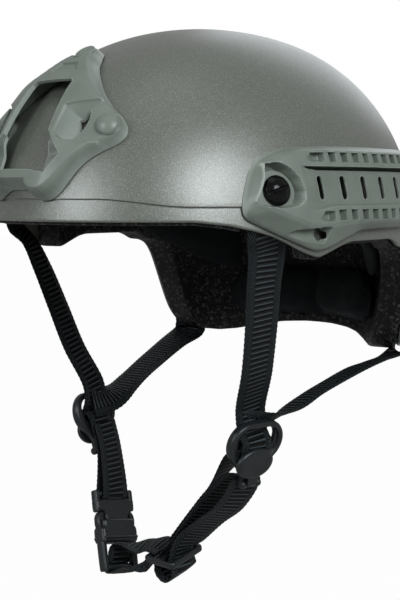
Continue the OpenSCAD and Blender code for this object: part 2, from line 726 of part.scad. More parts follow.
// The cap is a shallow dome; its tab turns on a pin between the divider's knuckles
module divider_cap() {
    cap_z = rim_out + fit_gap;
    union() {
        translate([cap_at, 0, cap_z]) scale([1, 1.41, 1]) rotate_extrude($fn = 64)
            polygon([[0, 0], [8.5, 0], [8.5, 0.9], [7.6, 1.7], [6.2, 2.4], [4.7, 2.8],
                [3.4, 2.4], [0, 2.1]]);
        translate([cap_pin_x, 0, cap_pin_z]) rotate([90, 0, 0]) {
            cylinder(r = pin_r, h = 12.4, center = true, $fn = 32);
            cylinder(r = 1.9, h = 6.6, center = true, $fn = 32);
        }
        translate([cap_at + 7.5, -3.3, cap_z]) cube([cap_pin_x - cap_at - 7.5, 6.6, 1.2]);
    }
}

module divider_left() { color(plastic_black) at_divider() divider(); }
module divider_right() { color(plastic_black) mirror([1, 0, 0]) at_divider() divider(); }
module divider_cap_left() { color(plastic_black) at_divider() divider_cap(); }
module divider_cap_right() { color(plastic_black) mirror([1, 0, 0]) at_divider() divider_cap(); }

// Harness webbing outside the shell
cross_way = divider_way([0, 1, 0]);
down_way = divider_way([1, 0, 0]);
FRONT_OUTSIDE = concat(
    [[[84.5, -49.5, -28], [0.3, 0.95, 0]], [[79.5, -44, -52], [0.24, 0.97, 0]],
     [[72.5, -38, -76], [0.2, 0.98, 0]]],
    [for (p = [[-19, -3.8], [-10.2, -3.6], [-6.5, -1.2], [-3, 1.9], [3.2, 2.15]])
        [in_divider([p[0], 0, p[1]]), cross_way]]);
REAR_OUTSIDE = concat(
    [[[77.6, 68.5, -79], [-0.78, 0.6, 0]], [[77.2, 57, -79.6], [-0.9, 0.35, -0.1]],
     [[72, 30, -88.3], [-0.91, 0.27, -0.32]], [[66, 4, -98], [-0.75, 0.2, -0.63]]],
    [for (y = [22, 8, -6]) [in_divider([-9, y, -5.3]), down_way]]);

module front_strap() {
    difference() {
        webbing(concat(inside_run(FRONT_INSIDE), FRONT_OUTSIDE));
        strap_hole(rail_front_at);
    }
}
module rear_strap() {
    difference() {
        webbing(concat(inside_run(REAR_INSIDE), REAR_OUTSIDE));
        strap_hole(rail_rear_at);
    }
}
module strap_hole(at) {
    on_dome(at, strap_off - 5) cylinder(r = barrel_r + fit_gap, h = 10, $fn = 32);
}
module front_strap_left() { color(web_black) front_strap(); }
module front_strap_right() { color(web_black) mirror([1, 0, 0]) front_strap(); }
module rear_strap_left() { color(web_black) rear_strap(); }
module rear_strap_right() { color(web_black) mirror([1, 0, 0]) rear_strap(); }

// Chin webbing. The stretches lie in a plane across the chin, at chin_y.
chin_y = -29;
slide_at = [2, chin_y, -187];
slide_tilt = 12;
buckle_at = [-46.5, -28, -162.5];
buckle_tilt = -12;
buckle_lean = -20;
bar_r = 1.8;
slide_way = turn_x([0, 1, 0], slide_tilt);
function in_buckle(p) = buckle_at + turn_x(turn_y(p, buckle_lean), buckle_tilt);
buckle_way = turn_x([0, 1, 0], buckle_tilt);
// Round a bar of the buckle: the bar's level in the buckle and the angle about it
function bar_wrap(z, a) = in_buckle([3.1 * cos(a), 0, z + 3.1 * sin(a)]);
function chin_run(path, way) = [for (p = path) [[p[0], chin_y, p[1]], way]];

module chin_strap_left() {
    color(web_black) webbing(concat(
        [for (p = [[-2.5, -1.6], [2, -2.9], [6, -6], [8.3, -9.7]])
            [in_divider([p[0], 0, p[1]]), cross_way]],
        chin_run([[35.5, -138.7], [22.6, -155.3], [9.5, -172], [1, -183], [-3, -188]],
            slide_way)));
}
module strap_tail() {
    color(web_black) webbing(chin_run(
        [[-8, -192.5], [-4, -197.5], [4, -199], [9.5, -194], [7.3, -187], [13, -176],
         [28.4, -164], [42.5, -153], [52.5, -142.5], [53.2, -138.8], [50.4, -138.2],
         [41, -146.8]], slide_way));
}
module buckle_strap() {
    // Both runs leave the buckle's lower bar, and the second folds back under the first
    lower_bar = in_buckle([0, 0, -buckle_len]);
    color(web_black) webbing(concat(
        chin_run([[-9, -191]], slide_way), [[[-17, -32, -193], slide_way]],
        [[lower_bar + [6.45, 1.7, 7.95], buckle_way]],
        [for (a = [75 : 34 : 246]) [bar_wrap(-buckle_len, a), buckle_way]],
        [[lower_bar + [6.45, -0.1, -0.55], buckle_way], [[-18, -34.3, -199], slide_way],
         [[-12, -31.5, -196], slide_way]]));
}

// Slide: three bars in a frame that the webbing threads through
module strap_slide() {
    t = 3.2;
    color(plastic_black) translate(slide_at) rotate([slide_tilt, 0, 0]) difference() {
        linear_extrude(t, center = true) offset(r = 2, $fn = 24)
            square([slide_len - 4, slide_w - 4], center = true);
        for (x = [-8, 1.6]) translate([x, -10.8, -5]) cube([x < 0 ? 6.8 : 6.4, 21.6, 10]);
    }
}

// Side-release buckle. Its frame hangs from the upper bar with -Z towards the
// lower bar and +X out of its face.
body_from = -14;
bar_drop = 6;
body_to = bar_drop - buckle_len;
body_t = 10;
body_wall = 2;
prong_to = body_to + 5;
tongue_top = -7;

module at_buckle() {
    translate(buckle_at) rotate([buckle_tilt, 0, 0]) rotate([0, buckle_lean, 0]) children();
}
module cross_bar(z, width) {
    translate([0, 0, z]) rotate([90, 0, 0]) cylinder(r = bar_r, h = width, center = true, $fn = 32);
}

module buckle_male() {
    ear = 3;
    color(plastic_black) at_buckle() union() {
        cross_bar(0, buckle_w - 1);
        for (s = [-1, 1]) translate([0, s * (buckle_w / 2 - ear / 2), 0]) {
            translate([-2, -ear / 2, -9]) cube([4, ear, 9]);
            rotate([90, 0, 0]) cylinder(r = 2, h = ear, center = true, $fn = 32);
        }
        translate([-3, -buckle_w / 2, body_from + 0.35]) cube([6, buckle_w, 5]);
        translate([-1.5, -3.5, prong_to + 6]) cube([3, 7, tongue_top - prong_to - 6]);
    }
}

// The two springy prongs of the male half, which bend in to let go
module buckle_prongs() {
    root_z = body_from + 0.35;
    color(plastic_black) at_buckle() for (s = [0, 1]) mirror([0, s, 0])
        rotate([90, 0, 90]) linear_extrude(4, center = true)
            polygon([[6.5, root_z], [9.5, root_z], [10.6, -20], [14.2, -22.5],
                [14.2, -26], [11.5, prong_to + 1.5], [9.5, prong_to], [7.5, -26]]);
}

module buckle_female() {
    half = buckle_w / 2;
    color(plastic_black) at_buckle() difference() {
        union() {
            rotate([90, 0, 90]) linear_extrude(body_t, center = true)
                polygon([[-half, body_from], [half, body_from], [half, body_to + 4],
                    [half - 3, body_to], [-half + 3, body_to], [-half, body_to + 4]]);
            for (s = [-1, 1]) hull() for (z = [body_to + 2, -buckle_len])
                translate([0, s * (half - 3.2), z]) rotate([90, 0, 0])
                    cylinder(r = 2.4, h = 3, center = true, $fn = 32);
            cross_bar(-buckle_len, buckle_w - 5);
        }
        // Hollow for the prongs, and the side windows that their ends show in
        translate([-body_t / 2 + body_wall, -half + body_wall, body_to + body_wall])
            cube([body_t - 2 * body_wall, buckle_w - 2 * body_wall, 40]);
        for (s = [-1, 1]) translate([-body_t, s * half - 5, -29])
            cube([2 * body_t, 10, 9.5]);
    }
}

module chin_strap_right() {
    function beside(path) = [for (p = path)
        [mirror_x(in_divider([p[0], 0, p[1]])), mirror_x(cross_way)]];
    color(web_black) webbing(concat(
        beside([[-2.5, -1.6], [2, -2.9], [6, -3.4], [20, -3.6]]),
        [for (a = [142 : 36 : 359]) [bar_wrap(0, a), buckle_way]],
        beside([[20, -6], [5, -5.7]])));
}
function mirror_x(v) = [-v.x, v.y, v.z];

shell();
foam_liner();
brow_pad();
crown_pad();
side_pad_left();
side_pad_right();
nape_pad();
hook_discs();
shroud();
shroud_screws();
shroud_nuts();
rail_left();
rail_right();
rail_front_screws();
rail_rear_screws();
rail_nuts();
front_strap_left();
front_strap_right();
rear_strap_left();
rear_strap_right();
divider_left();
divider_right();
divider_cap_left();
divider_cap_right();
chin_strap_left();
chin_strap_right();
buckle_strap();
strap_tail();
strap_slide();
buckle_male();
buckle_prongs();
buckle_female();
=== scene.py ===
# A combat bump helmet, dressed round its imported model: painted shell, bead-foam
# liner, cloth pads, moulded rails and shroud, woven harness and its buckle.
# Shapes are worked out in millimetres and turned to metres as they are made.
import json
import math

import bpy
import numpy as np
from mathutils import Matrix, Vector

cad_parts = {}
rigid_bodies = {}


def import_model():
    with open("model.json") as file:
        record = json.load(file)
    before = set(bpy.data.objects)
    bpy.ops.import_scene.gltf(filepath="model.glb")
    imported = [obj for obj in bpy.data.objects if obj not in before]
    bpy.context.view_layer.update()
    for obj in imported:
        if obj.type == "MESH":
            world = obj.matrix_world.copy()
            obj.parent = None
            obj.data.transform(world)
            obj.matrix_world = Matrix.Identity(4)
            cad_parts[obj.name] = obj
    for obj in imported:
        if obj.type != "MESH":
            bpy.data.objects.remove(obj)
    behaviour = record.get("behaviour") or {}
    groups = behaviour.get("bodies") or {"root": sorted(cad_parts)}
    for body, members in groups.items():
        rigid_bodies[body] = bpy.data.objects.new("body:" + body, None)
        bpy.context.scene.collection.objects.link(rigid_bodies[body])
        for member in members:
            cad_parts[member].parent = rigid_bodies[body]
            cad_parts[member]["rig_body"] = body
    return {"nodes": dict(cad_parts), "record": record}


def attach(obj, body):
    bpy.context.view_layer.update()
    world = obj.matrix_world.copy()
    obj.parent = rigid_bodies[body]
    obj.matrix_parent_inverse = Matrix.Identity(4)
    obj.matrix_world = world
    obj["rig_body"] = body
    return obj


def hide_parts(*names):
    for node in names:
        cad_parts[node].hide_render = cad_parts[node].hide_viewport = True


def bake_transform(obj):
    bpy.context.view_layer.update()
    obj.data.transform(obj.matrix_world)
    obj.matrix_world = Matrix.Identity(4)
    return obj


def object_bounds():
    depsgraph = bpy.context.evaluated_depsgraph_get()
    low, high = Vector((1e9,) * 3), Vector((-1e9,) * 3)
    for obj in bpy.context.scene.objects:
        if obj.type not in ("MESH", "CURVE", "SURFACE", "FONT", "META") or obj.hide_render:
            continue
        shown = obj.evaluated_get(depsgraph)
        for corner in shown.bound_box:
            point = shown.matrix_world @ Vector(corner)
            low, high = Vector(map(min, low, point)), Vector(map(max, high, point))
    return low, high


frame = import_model()
cad_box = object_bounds()
CAD = frame["nodes"]
SLOT_OF = {s["node"]: s["material_slot"] for s in frame["record"]["subparts"]}
MM = 0.001

# ---- Camera and lamps

EYE = Vector((0.41427, -0.46824, 0.01479))
LOOK = Vector((-0.66302, 0.74206, -0.0988))
LENS_MM, SENSOR_MM = 66.533, 36.0
# name, azimuth, elevation (degrees), distance (m), width (m), watts
LAMPS = [("key", 72, 27, 1.5, 0.75, 20.5), ("left_fill", -6, 20, 1.6, 0.7, 12),
         ("top_fill", 30, 80, 1.8, 1.2, 2.5), ("back_fill", 200, 30, 1.8, 1.2, 5)]
LAMP_COLOUR = "#f3f8ff"


def put(name, data):
    """An object of this data, linked to the scene."""
    ob = bpy.data.objects.new(name, data)
    bpy.context.scene.collection.objects.link(ob)
    return ob


def set_stage():
    data = bpy.data.cameras.new("camera")
    data.lens, data.sensor_width, data.sensor_fit = LENS_MM, SENSOR_MM, "AUTO"
    data.clip_start, data.clip_end = 0.05, 20
    camera = put("camera", data)
    camera.location = EYE
    camera.rotation_euler = LOOK.to_track_quat("-Z", "Y").to_euler()
    bpy.context.scene.camera = camera
    bpy.context.scene.view_settings.view_transform = "Standard"
    for name, azimuth, rise, far, size, power in LAMPS:
        lamp = bpy.data.lights.new(name, "AREA")
        lamp.shape, lamp.size, lamp.energy = "DISK", size, power
        lamp.color = srgb(LAMP_COLOUR)[:3]
        ob = put(name, lamp)
        a, e = math.radians(azimuth), math.radians(rise)
        way = Vector((math.sin(a) * math.cos(e), -math.cos(a) * math.cos(e), math.sin(e)))
        ob.location = way * far
        ob.rotation_euler = (-way).to_track_quat("-Z", "Y").to_euler()


# ---- Colours and node helpers


def srgb(code):
    """An sRGB hex colour as the linear numbers that a shader takes."""
    parts = [int(code[i:i + 2], 16) / 255 for i in (1, 3, 5)]
    return tuple(p / 12.92 if p <= 0.04045 else ((p + 0.055) / 1.055) ** 2.4
                 for p in parts) + (1.0,)


def add(tree, kind, inputs=(), **settings):
    """Adds a node; each input is given a number, or the output that feeds it."""
    node = tree.nodes.new("ShaderNode" + kind)
    for key, value in settings.items():
        setattr(node, key, value)
    for key, value in dict(inputs).items():
        if isinstance(value, bpy.types.NodeSocket):
            tree.links.new(value, node.inputs[key])
        else:
            node.inputs[key].default_value = value
    return node


def finish(name):
    """An empty material, its node tree and its object-space coordinates."""
    material = bpy.data.materials.new(name)
    material.use_nodes = True
    material.node_tree.nodes.clear()
    tree = material.node_tree
    place = add(tree, "TexCoord").outputs["Object"]
    return material, tree, place


def close(tree, shader):
    add(tree, "OutputMaterial", {"Surface": shader.outputs[0]})


def surface(tree, colour, rough, ior, specular, **more):
    """Ends a material in a surface; an underscore in a further input stands for a space."""
    inputs = {"Base Color": colour, "Roughness": rough, "IOR": ior,
              "Specular IOR Level": specular}
    inputs.update((key.replace("_", " "), value) for key, value in more.items())
    close(tree, add(tree, "BsdfPrincipled", inputs))


def grain(tree, place, size_mm, detail=2.0, rough=0.5):
    return add(tree, "TexNoise", {"Vector": place, "Scale": 1 / (size_mm * MM),
                                  "Detail": detail, "Roughness": rough}).outputs["Fac"]


def relief(tree, height, strength, depth_mm, **settings):
    return add(tree, "Bump", {"Height": height, "Strength": strength,
                              "Distance": depth_mm * MM}, **settings).outputs["Normal"]


def maths(tree, operation, *values):
    return add(tree, "Math", dict(enumerate(values)), operation=operation).outputs[0]


def spread_over(tree, value, source=(0.0, 1.0), target=(0.0, 1.0)):
    """Maps a value from one range onto another."""
    return add(tree, "MapRange", {"Value": value, "From Min": source[0], "From Max": source[1],
                                  "To Min": target[0], "To Max": target[1]}).outputs["Result"]


def ramp(tree, source, *stops):
    """A colour ramp through pairs of a place and an sRGB hex colour."""
    node = add(tree, "ValToRGB", {"Fac": source})
    while len(node.color_ramp.elements) < len(stops):
        node.color_ramp.elements.new(0.5)
    for element, (at, code) in zip(node.color_ramp.elements, stops):
        element.position, element.color = at, srgb(code)
    return node.outputs["Color"]


def shell_paint():
    # Moulded shell sprayed with a satin metallic paint: it sparkles in fine specks
    # where it catches the light, and its highlight is broad and soft.
    m, t, place = finish("satin_metallic_paint")
    specks = grain(t, place, 0.55, 3.0, 0.6)
    clouds = grain(t, place, 24.0)
    colour = ramp(t, specks, (0.3, "#4a4d44"), (0.52, "#595c53"), (0.72, "#7d817b"))
    rough = spread_over(t, clouds, target=(0.33, 0.38))
    surface(t, colour, rough, 1.5, 0.9, Metallic=0.25, Normal=relief(t, specks, 0.9, 0.1))
    return m


def moulding():
    # Glass-filled nylon, injection moulded: an even grey-green with a satin skin,
    # a trace of moulding grain, and a painted highlight that makes its sharp edges paler.
    m, t, place = finish("moulded_nylon_green")
    fine = grain(t, place, 0.5, 2.0)
    clouds = grain(t, place, 12.0, 3.0)
    colour = ramp(t, clouds, (0.3, "#5f665d"), (0.7, "#687066"))
    # Painted highlight: sharp edges, found by pointiness, are mixed towards a pale grey-green
    painted_edge_highlight = spread_over(t, add(t, "NewGeometry").outputs["Pointiness"], (0.53, 0.6), (0, 0.6))
    colour = add(t, "Mix", {"Factor": painted_edge_highlight, 6: colour, 7: srgb("#a9b0a7")},
                 data_type="RGBA").outputs[2]
    surface(t, colour, 0.4, 1.52, 0.4, Normal=relief(t, fine, 0.25, 0.03))
    return m


def bead_foam():
    # Expanded-bead foam: pressed beads about 1.5 mm across, each with its own tone,
    # and dark seams between them.
    m, t, place = finish("expanded_bead_foam")
    near = add(t, "TexVoronoi", {"Vector": place, "Scale": 1 / (1.5 * MM), "Randomness": 1.0})
    tone = add(t, "SeparateColor", {"Color": near.outputs["Color"]}).outputs[0]
    both = maths(t, "MULTIPLY", tone, grain(t, place, 0.8, 3.0, 0.7))
    colour = ramp(t, both, (0.12, "#030303"), (0.36, "#0d0d0c"), (0.6, "#575452"))
    surface(t, colour, 0.55, 1.5, 0.2,
            Normal=relief(t, near.outputs["Distance"], 0.9, 0.35, invert=True))
    return m


def loop_cloth():
    # Brushed nylon loop cloth: a short fuzzy pile that lightens at its edges.
    m, t, place = finish("brushed_loop_cloth")
    pile = grain(t, place, 0.45, 3.0, 0.7)
    matted = grain(t, place, 5.0, 2.0)
    both = add(t, "Mix", {"Factor": 0.35, 2: pile, 3: matted}).outputs[0]
    colour = ramp(t, both, (0.32, "#090b0b"), (0.66, "#1b1f20"))
    surface(t, colour, 0.9, 1.5, 0.2, Sheen_Weight=0.06, Sheen_Roughness=0.45,
            Sheen_Tint=srgb("#8b9091"), Normal=relief(t, pile, 0.8, 0.3))
    return m


def black_steel():
    # Blackened steel screw, polished: near black, with small sharp highlights.
    m, t, place = finish("polished_black_steel")
    wear = grain(t, place, 3.0, 4.0, 0.6)
    rough = spread_over(t, wear, target=(0.1, 0.24))
    surface(t, ramp(t, wear, (0.3, "#020202"), (0.8, "#0a0a0b")), rough, 1.45, 0.2)
    return m


def black_nylon():
    # Acetal buckle and slides: charcoal black, satin, with a faint mould texture.
    m, t, place = finish("moulded_acetal_black")
    fine = grain(t, place, 0.4, 2.0)
    clouds = grain(t, place, 6.0, 3.0)
    colour = ramp(t, clouds, (0.3, "#121516"), (0.7, "#181c1d"))
    surface(t, colour, 0.38, 1.48, 0.35, Normal=relief(t, fine, 0.3, 0.03))
    return m


RIB = 2.9       # spacing of the webbing's ribs, mm
SELVEDGE = 5.6  # where its twilled edge begins, mm from the middle
TWILL_MID = 7.8  # where the herringbone's two slants meet, mm from the middle
TWILL_SLANT = 1.3


def webbing_weave():
    # Nylon webbing, 20 mm: padded cross ribs down the middle and a herringbone
    # twill along each edge. Its map "weave" counts millimetres across and along.
    m, t, place = finish("woven_nylon_webbing")
    weave = add(t, "UVMap", uv_map="weave")
    split = add(t, "SeparateXYZ", {0: weave.outputs[0]})
    u, v = maths(t, "ABSOLUTE", split.outputs[0]), split.outputs[1]
    side = spread_over(t, u, (TWILL_MID - 0.1, TWILL_MID + 0.1), (-1.0, 1.0))
    lean = maths(t, "MULTIPLY", maths(t, "SUBTRACT", u, TWILL_MID), side)
    lean = maths(t, "MULTIPLY_ADD", lean, TWILL_SLANT, v)
    turn = 2 * math.pi
    twill = maths(t, "SINE", maths(t, "MULTIPLY", lean, turn / (RIB / 2)))
    rib = maths(t, "COSINE", maths(t, "MULTIPLY", v, turn / RIB))
    edge = spread_over(t, u, (SELVEDGE - 0.2, SELVEDGE + 0.2))
    wave = add(t, "Mix", {"Factor": edge, 2: rib, 3: twill}).outputs[0]
    thread = grain(t, place, 0.35, 2.0, 0.7)
    height = maths(t, "MULTIPLY_ADD", thread, 0.9, wave)
    # Painted highlight and shade: the tops of the ribs and twill are coloured lighter and the
    # hollows between them darker; the thread grain adds random tone
    colour = ramp(t, spread_over(t, height, (-0.9, 1.6)), (0.0, "#000000"), (0.5, "#020303"),
                  (0.76, "#0a0c0d"), (0.95, "#40484a"))
    surface(t, colour, 0.5, 1.53, 0.12, Normal=relief(t, height, 0.9, 0.22))
    return m


# Light of the surroundings, how white the floor looks, and how much of that
# white a glossy reflection takes
AMBIENT, FLOOR_GLOW, GLOSS_SHARE = 0.22, 0.98, 0.28
WHITE = (1, 1, 1, 1)


def white_share(tree):
    """How far a ray sees plain white: the camera's wholly, a reflection's in part."""
    seen = add(tree, "LightPath").outputs
    gloss = maths(tree, "MULTIPLY_ADD", seen["Is Glossy Ray"], GLOSS_SHARE,
                  seen["Is Camera Ray"])
    return add(tree, "Math", {0: gloss, 1: seen["Is Transmission Ray"]}, operation="ADD",
               use_clamp=True).outputs[0]


def floor_card():
    # Matt card: white to the camera, and it keeps the object's shadow.
    m, t, _ = finish("white_card")
    share = maths(t, "MULTIPLY", white_share(t), FLOOR_GLOW)
    card = add(t, "BsdfDiffuse", {"Color": srgb("#9c9c9b")})
    glow = add(t, "Emission", {"Color": WHITE, "Strength": 1.0})
    close(t, add(t, "MixShader", {0: share, 1: card.outputs[0], 2: glow.outputs[0]}))
    return m


def set_world():
    world = bpy.data.worlds.new("studio")
    bpy.context.scene.world = world
    world.use_nodes = True
    t = world.node_tree
    t.nodes.clear()
    dim = add(t, "Background", {"Color": WHITE, "Strength": AMBIENT})
    white = add(t, "Background", {"Color": WHITE, "Strength": 1.0})
    mixed = add(t, "MixShader", {0: white_share(t), 1: dim.outputs[0], 2: white.outputs[0]})
    add(t, "OutputWorld", {"Surface": mixed.outputs[0]})


set_stage()
set_world()
FINISH = {"shell_paint": shell_paint(), "moulded_green": moulding(),
          "bead_foam": bead_foam(), "loop_cloth": loop_cloth(),
          "black_steel": black_steel(), "webbing": webbing_weave(),
          "black_nylon": black_nylon()}
FINISH["hook_tape"] = FINISH["black_nylon"]
for name, node in CAD.items():
    node.data.materials.clear()
    node.data.materials.append(FINISH[SLOT_OF[name]])

# ---- Making meshes


def piece(name, verts, faces, nodes, corner=50.0, weave=None, crossing=None):
    """A closed mesh, given in millimetres, that stands for CAD nodes and rides with them, but for
    one that crosses a joint, which stays where it is made.
    """
    verts = np.asarray(verts, float)
    faces = [tuple(int(i) for i in f) for f in faces]
    tris = np.array([(f[0], f[k], f[k + 1]) for f in faces for k in range(1, len(f) - 1)])
    a, b, c = verts[tris[:, 0]], verts[tris[:, 1]], verts[tris[:, 2]]
    if np.einsum("ij,ij->", a, np.cross(b, c)) < 0:
        faces = [f[::-1] for f in faces]
    mesh = bpy.data.meshes.new(name)
    mesh.from_pydata((verts * MM).tolist(), [], faces)
    mesh.polygons.foreach_set("use_smooth", np.ones(len(mesh.polygons), bool))
    mesh.set_sharp_from_angle(angle=math.radians(corner))
    if weave is not None:
        layer = mesh.uv_layers.new(name="weave")
        at = np.empty(len(mesh.loops), int)
        mesh.loops.foreach_get("vertex_index", at)
        layer.data.foreach_set("uv", np.asarray(weave, np.float32)[at].ravel())
    dress(put(name, mesh), nodes, crossing)


def dress(ob, nodes, crossing=None):
    """Gives an object the finish of its node's slot and rides it on its node's body; one that
    crosses a joint is only fixed where it stands.
    """
    ob.data.materials.clear()
    ob.data.materials.append(FINISH[SLOT_OF[nodes[0]]])
    own = CAD[nodes[0]]["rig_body"]
    if crossing:
        beyond, start, end = crossing
        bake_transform(ob)
        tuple(start)
        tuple(end)
    else:
        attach(ob, own)
    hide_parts(*nodes)


def flipped(verts):
    """The mirror image, on the wearer's other side."""
    return np.asarray(verts) * np.array([-1.0, 1.0, 1.0])


def strips(rows, cols):
    """Quads between round rows of points, one row after another."""
    r, c = np.meshgrid(np.arange(rows - 1), np.arange(cols), indexing="ij")
    r, c, d = r.ravel(), c.ravel(), (c.ravel() + 1) % cols
    return np.stack([r * cols + c, r * cols + d, (r + 1) * cols + d, (r + 1) * cols + c], 1)


def unit(v):
    return v / np.linalg.norm(v, axis=-1, keepdims=True)


def mix(a, b, f):
    return a + (b - a) * f


def smooth(a, b, x):
    f = np.clip((x - a) / (b - a), 0, 1)
    return f * f * (3 - 2 * f)


# ---- The dome that shell, liner, pads, rails and shroud follow

# Half its width, its reach to the nose and the nape, its rise from the waist, and how
# far the waist lies under the brow's edge
HALF_WIDTH, FRONT, REAR, RISE, WAIST = 107.5, 136.0, 134.0, 125.5, 24.0
# How full the plan is, how much the dome tucks in under the waist, and the band's level
PLAN, TUCK, BAND = 2.1, 0.35, 10.5


def power(v, e):
    return np.sign(v) * np.abs(v) ** e


def reach(back, off):
    return np.where(back < 0, FRONT, REAR) + off


def girth(bearing, z, off):
    fullness = 2.15 + 0.15 * (1 + np.sin(bearing)) / 2
    s = (z + WAIST) / (RISE + off)
    over = np.clip(1 - np.clip(s, 0, None) ** fullness, 0, None) ** (1 / fullness)
    return np.where(s >= 0, over, 1 - TUCK * s * s)


def dome(bearing, z, off):
    g = girth(bearing, z, off)
    x = (HALF_WIDTH + off) * power(np.cos(bearing), 2 / PLAN) * g
    y = reach(np.sin(bearing), off) * power(np.sin(bearing), 2 / PLAN) * g
    return np.stack(np.broadcast_arrays(x, y, z + 0 * g), -1)


def bearing_of(y, z, off):
    b = np.zeros(np.broadcast(y, z, off).shape)
    for _ in range(6):
        b = np.arcsin(power(np.clip(y / reach(y, off) / girth(b, z, off), -1, 1), PLAN / 2))
    return b


def side_point(y, z, off):
    return dome(bearing_of(y, z, off), z, off)


def folded(b):
    """A bearing in radians as degrees from -90 (nose) to 90 (nape), alike on both sides."""
    return np.degrees(np.arcsin(np.clip(np.sin(b), -1, 1)))


def dome_way(bearing, z):
    """The outward direction at a place on the dome."""
    a = dome(bearing + 0.01, z, 0) - dome(bearing - 0.01, z, 0)
    b = dome(bearing, z + 0.5, 0) - dome(bearing, z - 0.5, 0)
    return unit(np.cross(a, b))


def off_dome(at, off):
    """The point so far square off the dome, at a bearing in degrees and a level."""
    b = math.radians(at[0])
    return dome(b, at[1], 0.0) + off * dome_way(b, at[1])


# Bearing and level of the shell's edge on the wearer's left
EDGE = [(-90, 0), (-55, 0), (-44, 0), (-36, -1.75), (-30, -4.4), (-26, -6.8), (-22, -10.5),
        (-18, -14.5), (-15.5, -16.6), (-13.7, -17.5), (-12, -16.3), (-6, -11.5),
        (-3.5, -10.5), (4, -10.5), (11, -10.5), (13.4, -12.2), (15.6, -15.1),
        (18.6, -15.7), (20.8, -18), (22.4, -21.7), (23.8, -27.8), (25.5, -39),
        (27.3, -51.7), (29, -62), (31, -68.8), (33.3, -71.9), (37, -74), (43, -75),
        (50, -74.3), (56, -72.8), (62, -70.8), (70, -69.2), (80, -68.2), (90, -68)]
EDGE_EASE = 1.2  # degrees over which the edge's corners are eased


def edge_level(degrees, lead=0.0):
    """The edge's level, with its corners eased; lead holds it back behind the ears."""
    fine = np.arange(-90, 90.01, 0.1)
    at, level = np.array(EDGE, float).T
    z = np.interp(fine, at, level)
    n = int(EDGE_EASE / 0.1)
    bell = np.hanning(2 * n + 3)
    z = np.convolve(np.pad(z, n + 1, mode="reflect"), bell / bell.sum(), "valid")
    turned = folded(np.radians(degrees))
    back = np.where(turned > 0, np.maximum(turned - lead, 0), turned)
    return np.interp(back, fine, z)


def round_columns(space):
    """Bearings right round, closer together where the edge runs steeply."""
    fine = np.arange(-90, 270.001, 0.05)
    b, z = np.radians(fine), edge_level(fine)
    run = np.hypot(np.diff(b) * 110, 0.5 * np.diff(z))
    along = np.concatenate([[0], np.cumsum(run)])
    count = int(along[-1] / space)
    return np.interp(np.arange(count) * along[-1] / count, along, fine)


def from_edge(degrees, lead=0.0, drop=0.0):
    """Gives ring(inset, off): points that far in from the edge, square to it."""
    b = np.radians(degrees)
    z = edge_level(degrees, lead) - drop
    at = dome(b, z, 0)
    nearby = edge_level(degrees + 0.2, lead) - edge_level(degrees - 0.2, lead)
    across = np.linalg.norm(dome(b + math.radians(0.2), z, 0)
                            - dome(b - math.radians(0.2), z, 0), axis=1)
    slant = np.arctan2(nearby, across)
    reach_of = np.hypot(at[:, 0], at[:, 1])

    def ring(inset, off, rise=0.0, top=None):
        fade = (1 - rise) ** 2
        turn = -inset * np.sin(slant) / reach_of * fade
        level = z + inset * np.cos(slant)
        if top is not None:
            level = mix(level, top, rise)
        return dome(b + turn, level, off)
    return ring


def crown(off):
    return RISE + off - WAIST


def closed(rows, first, last):
    """Vertices and faces of a skin of round rows, from one pole's height to the other's."""
    n, count = len(rows[0]), len(rows)
    faces = [tuple(f) for f in strips(count, n)]
    for j in range(n):
        faces.append(((j + 1) % n, j, count * n))
        faces.append(((count - 1) * n + j, (count - 1) * n + (j + 1) % n, count * n + 1))
    return np.concatenate(rows + [[[0, 0, first]], [[0, 0, last]]]), faces


def bowl(name, node, rows, corner):
    """A skin from its outer pole down to the edge and up the inside to its inner pole."""
    piece(name, *closed(rows, rows[0][:, 2].max(), rows[-1][:, 2].max()), [node], corner)


COLUMN_GAP = 1.6  # space between the columns of shell and liner, mm
# The shell's thickness, how far its band is set back, and how far the band's line dips
SHELL_T, BAND_BACK, BAND_DIP = 3.5, 0.9, 3.7


def shell():
    degrees = round_columns(COLUMN_GAP)
    b = np.radians(degrees)
    ring = from_edge(degrees)
    # The band's line dips under the rail
    seam = BAND - BAND_DIP * smooth(-68, -44, folded(b)) * smooth(30, 10, folded(b))
    def at(level, off):
        return dome(b, level + 0 * b, off)
    dome_rows = [at(mix(seam + 0.5, crown(0), math.sin(math.pi / 2 * f)), 0.0)
                 for f in np.linspace(0.992, 0.0, 90)]
    step = [at(seam + d, off) for d, off in
            [(0.32, -0.03), (0.18, -0.16), (0.06, -0.5), (-0.05, -0.8), (-0.25, -BAND_BACK)]]
    band = [ring(1.2, -BAND_BACK, f, seam - 0.7) for f in np.linspace(1, 0, 26)]
    rim = [ring(d, off) for d, off in
           [(0.8, -0.93), (0.42, -1.08), (0.15, -1.35), (0.0, -1.8), (0.0, -2.5),
            (0.15, -3.0), (0.5, -3.35), (1.0, -SHELL_T)]]
    wall = [ring(1.4, -SHELL_T, f, BAND) for f in np.linspace(0, 1, 14)]
    roof = [at(mix(BAND + 1, crown(-SHELL_T), math.sin(math.pi / 2 * f)), -SHELL_T)
            for f in np.linspace(0, 0.99, 30)]
    bowl("shell_skin", "shell", dome_rows + step + band + rim + wall + roof, 40.0)


# The liner's two faces off the dome, how far it hangs below the shell, and how many
# degrees its inner edge holds back behind the ears
LINER_OUT, LINER_IN, LINER_SHOWS, EAR_BEVEL = -4.2, -18.2, 1.5, 4.5
NOTCH_AT, NOTCH_TOP = -24.3, 2.5


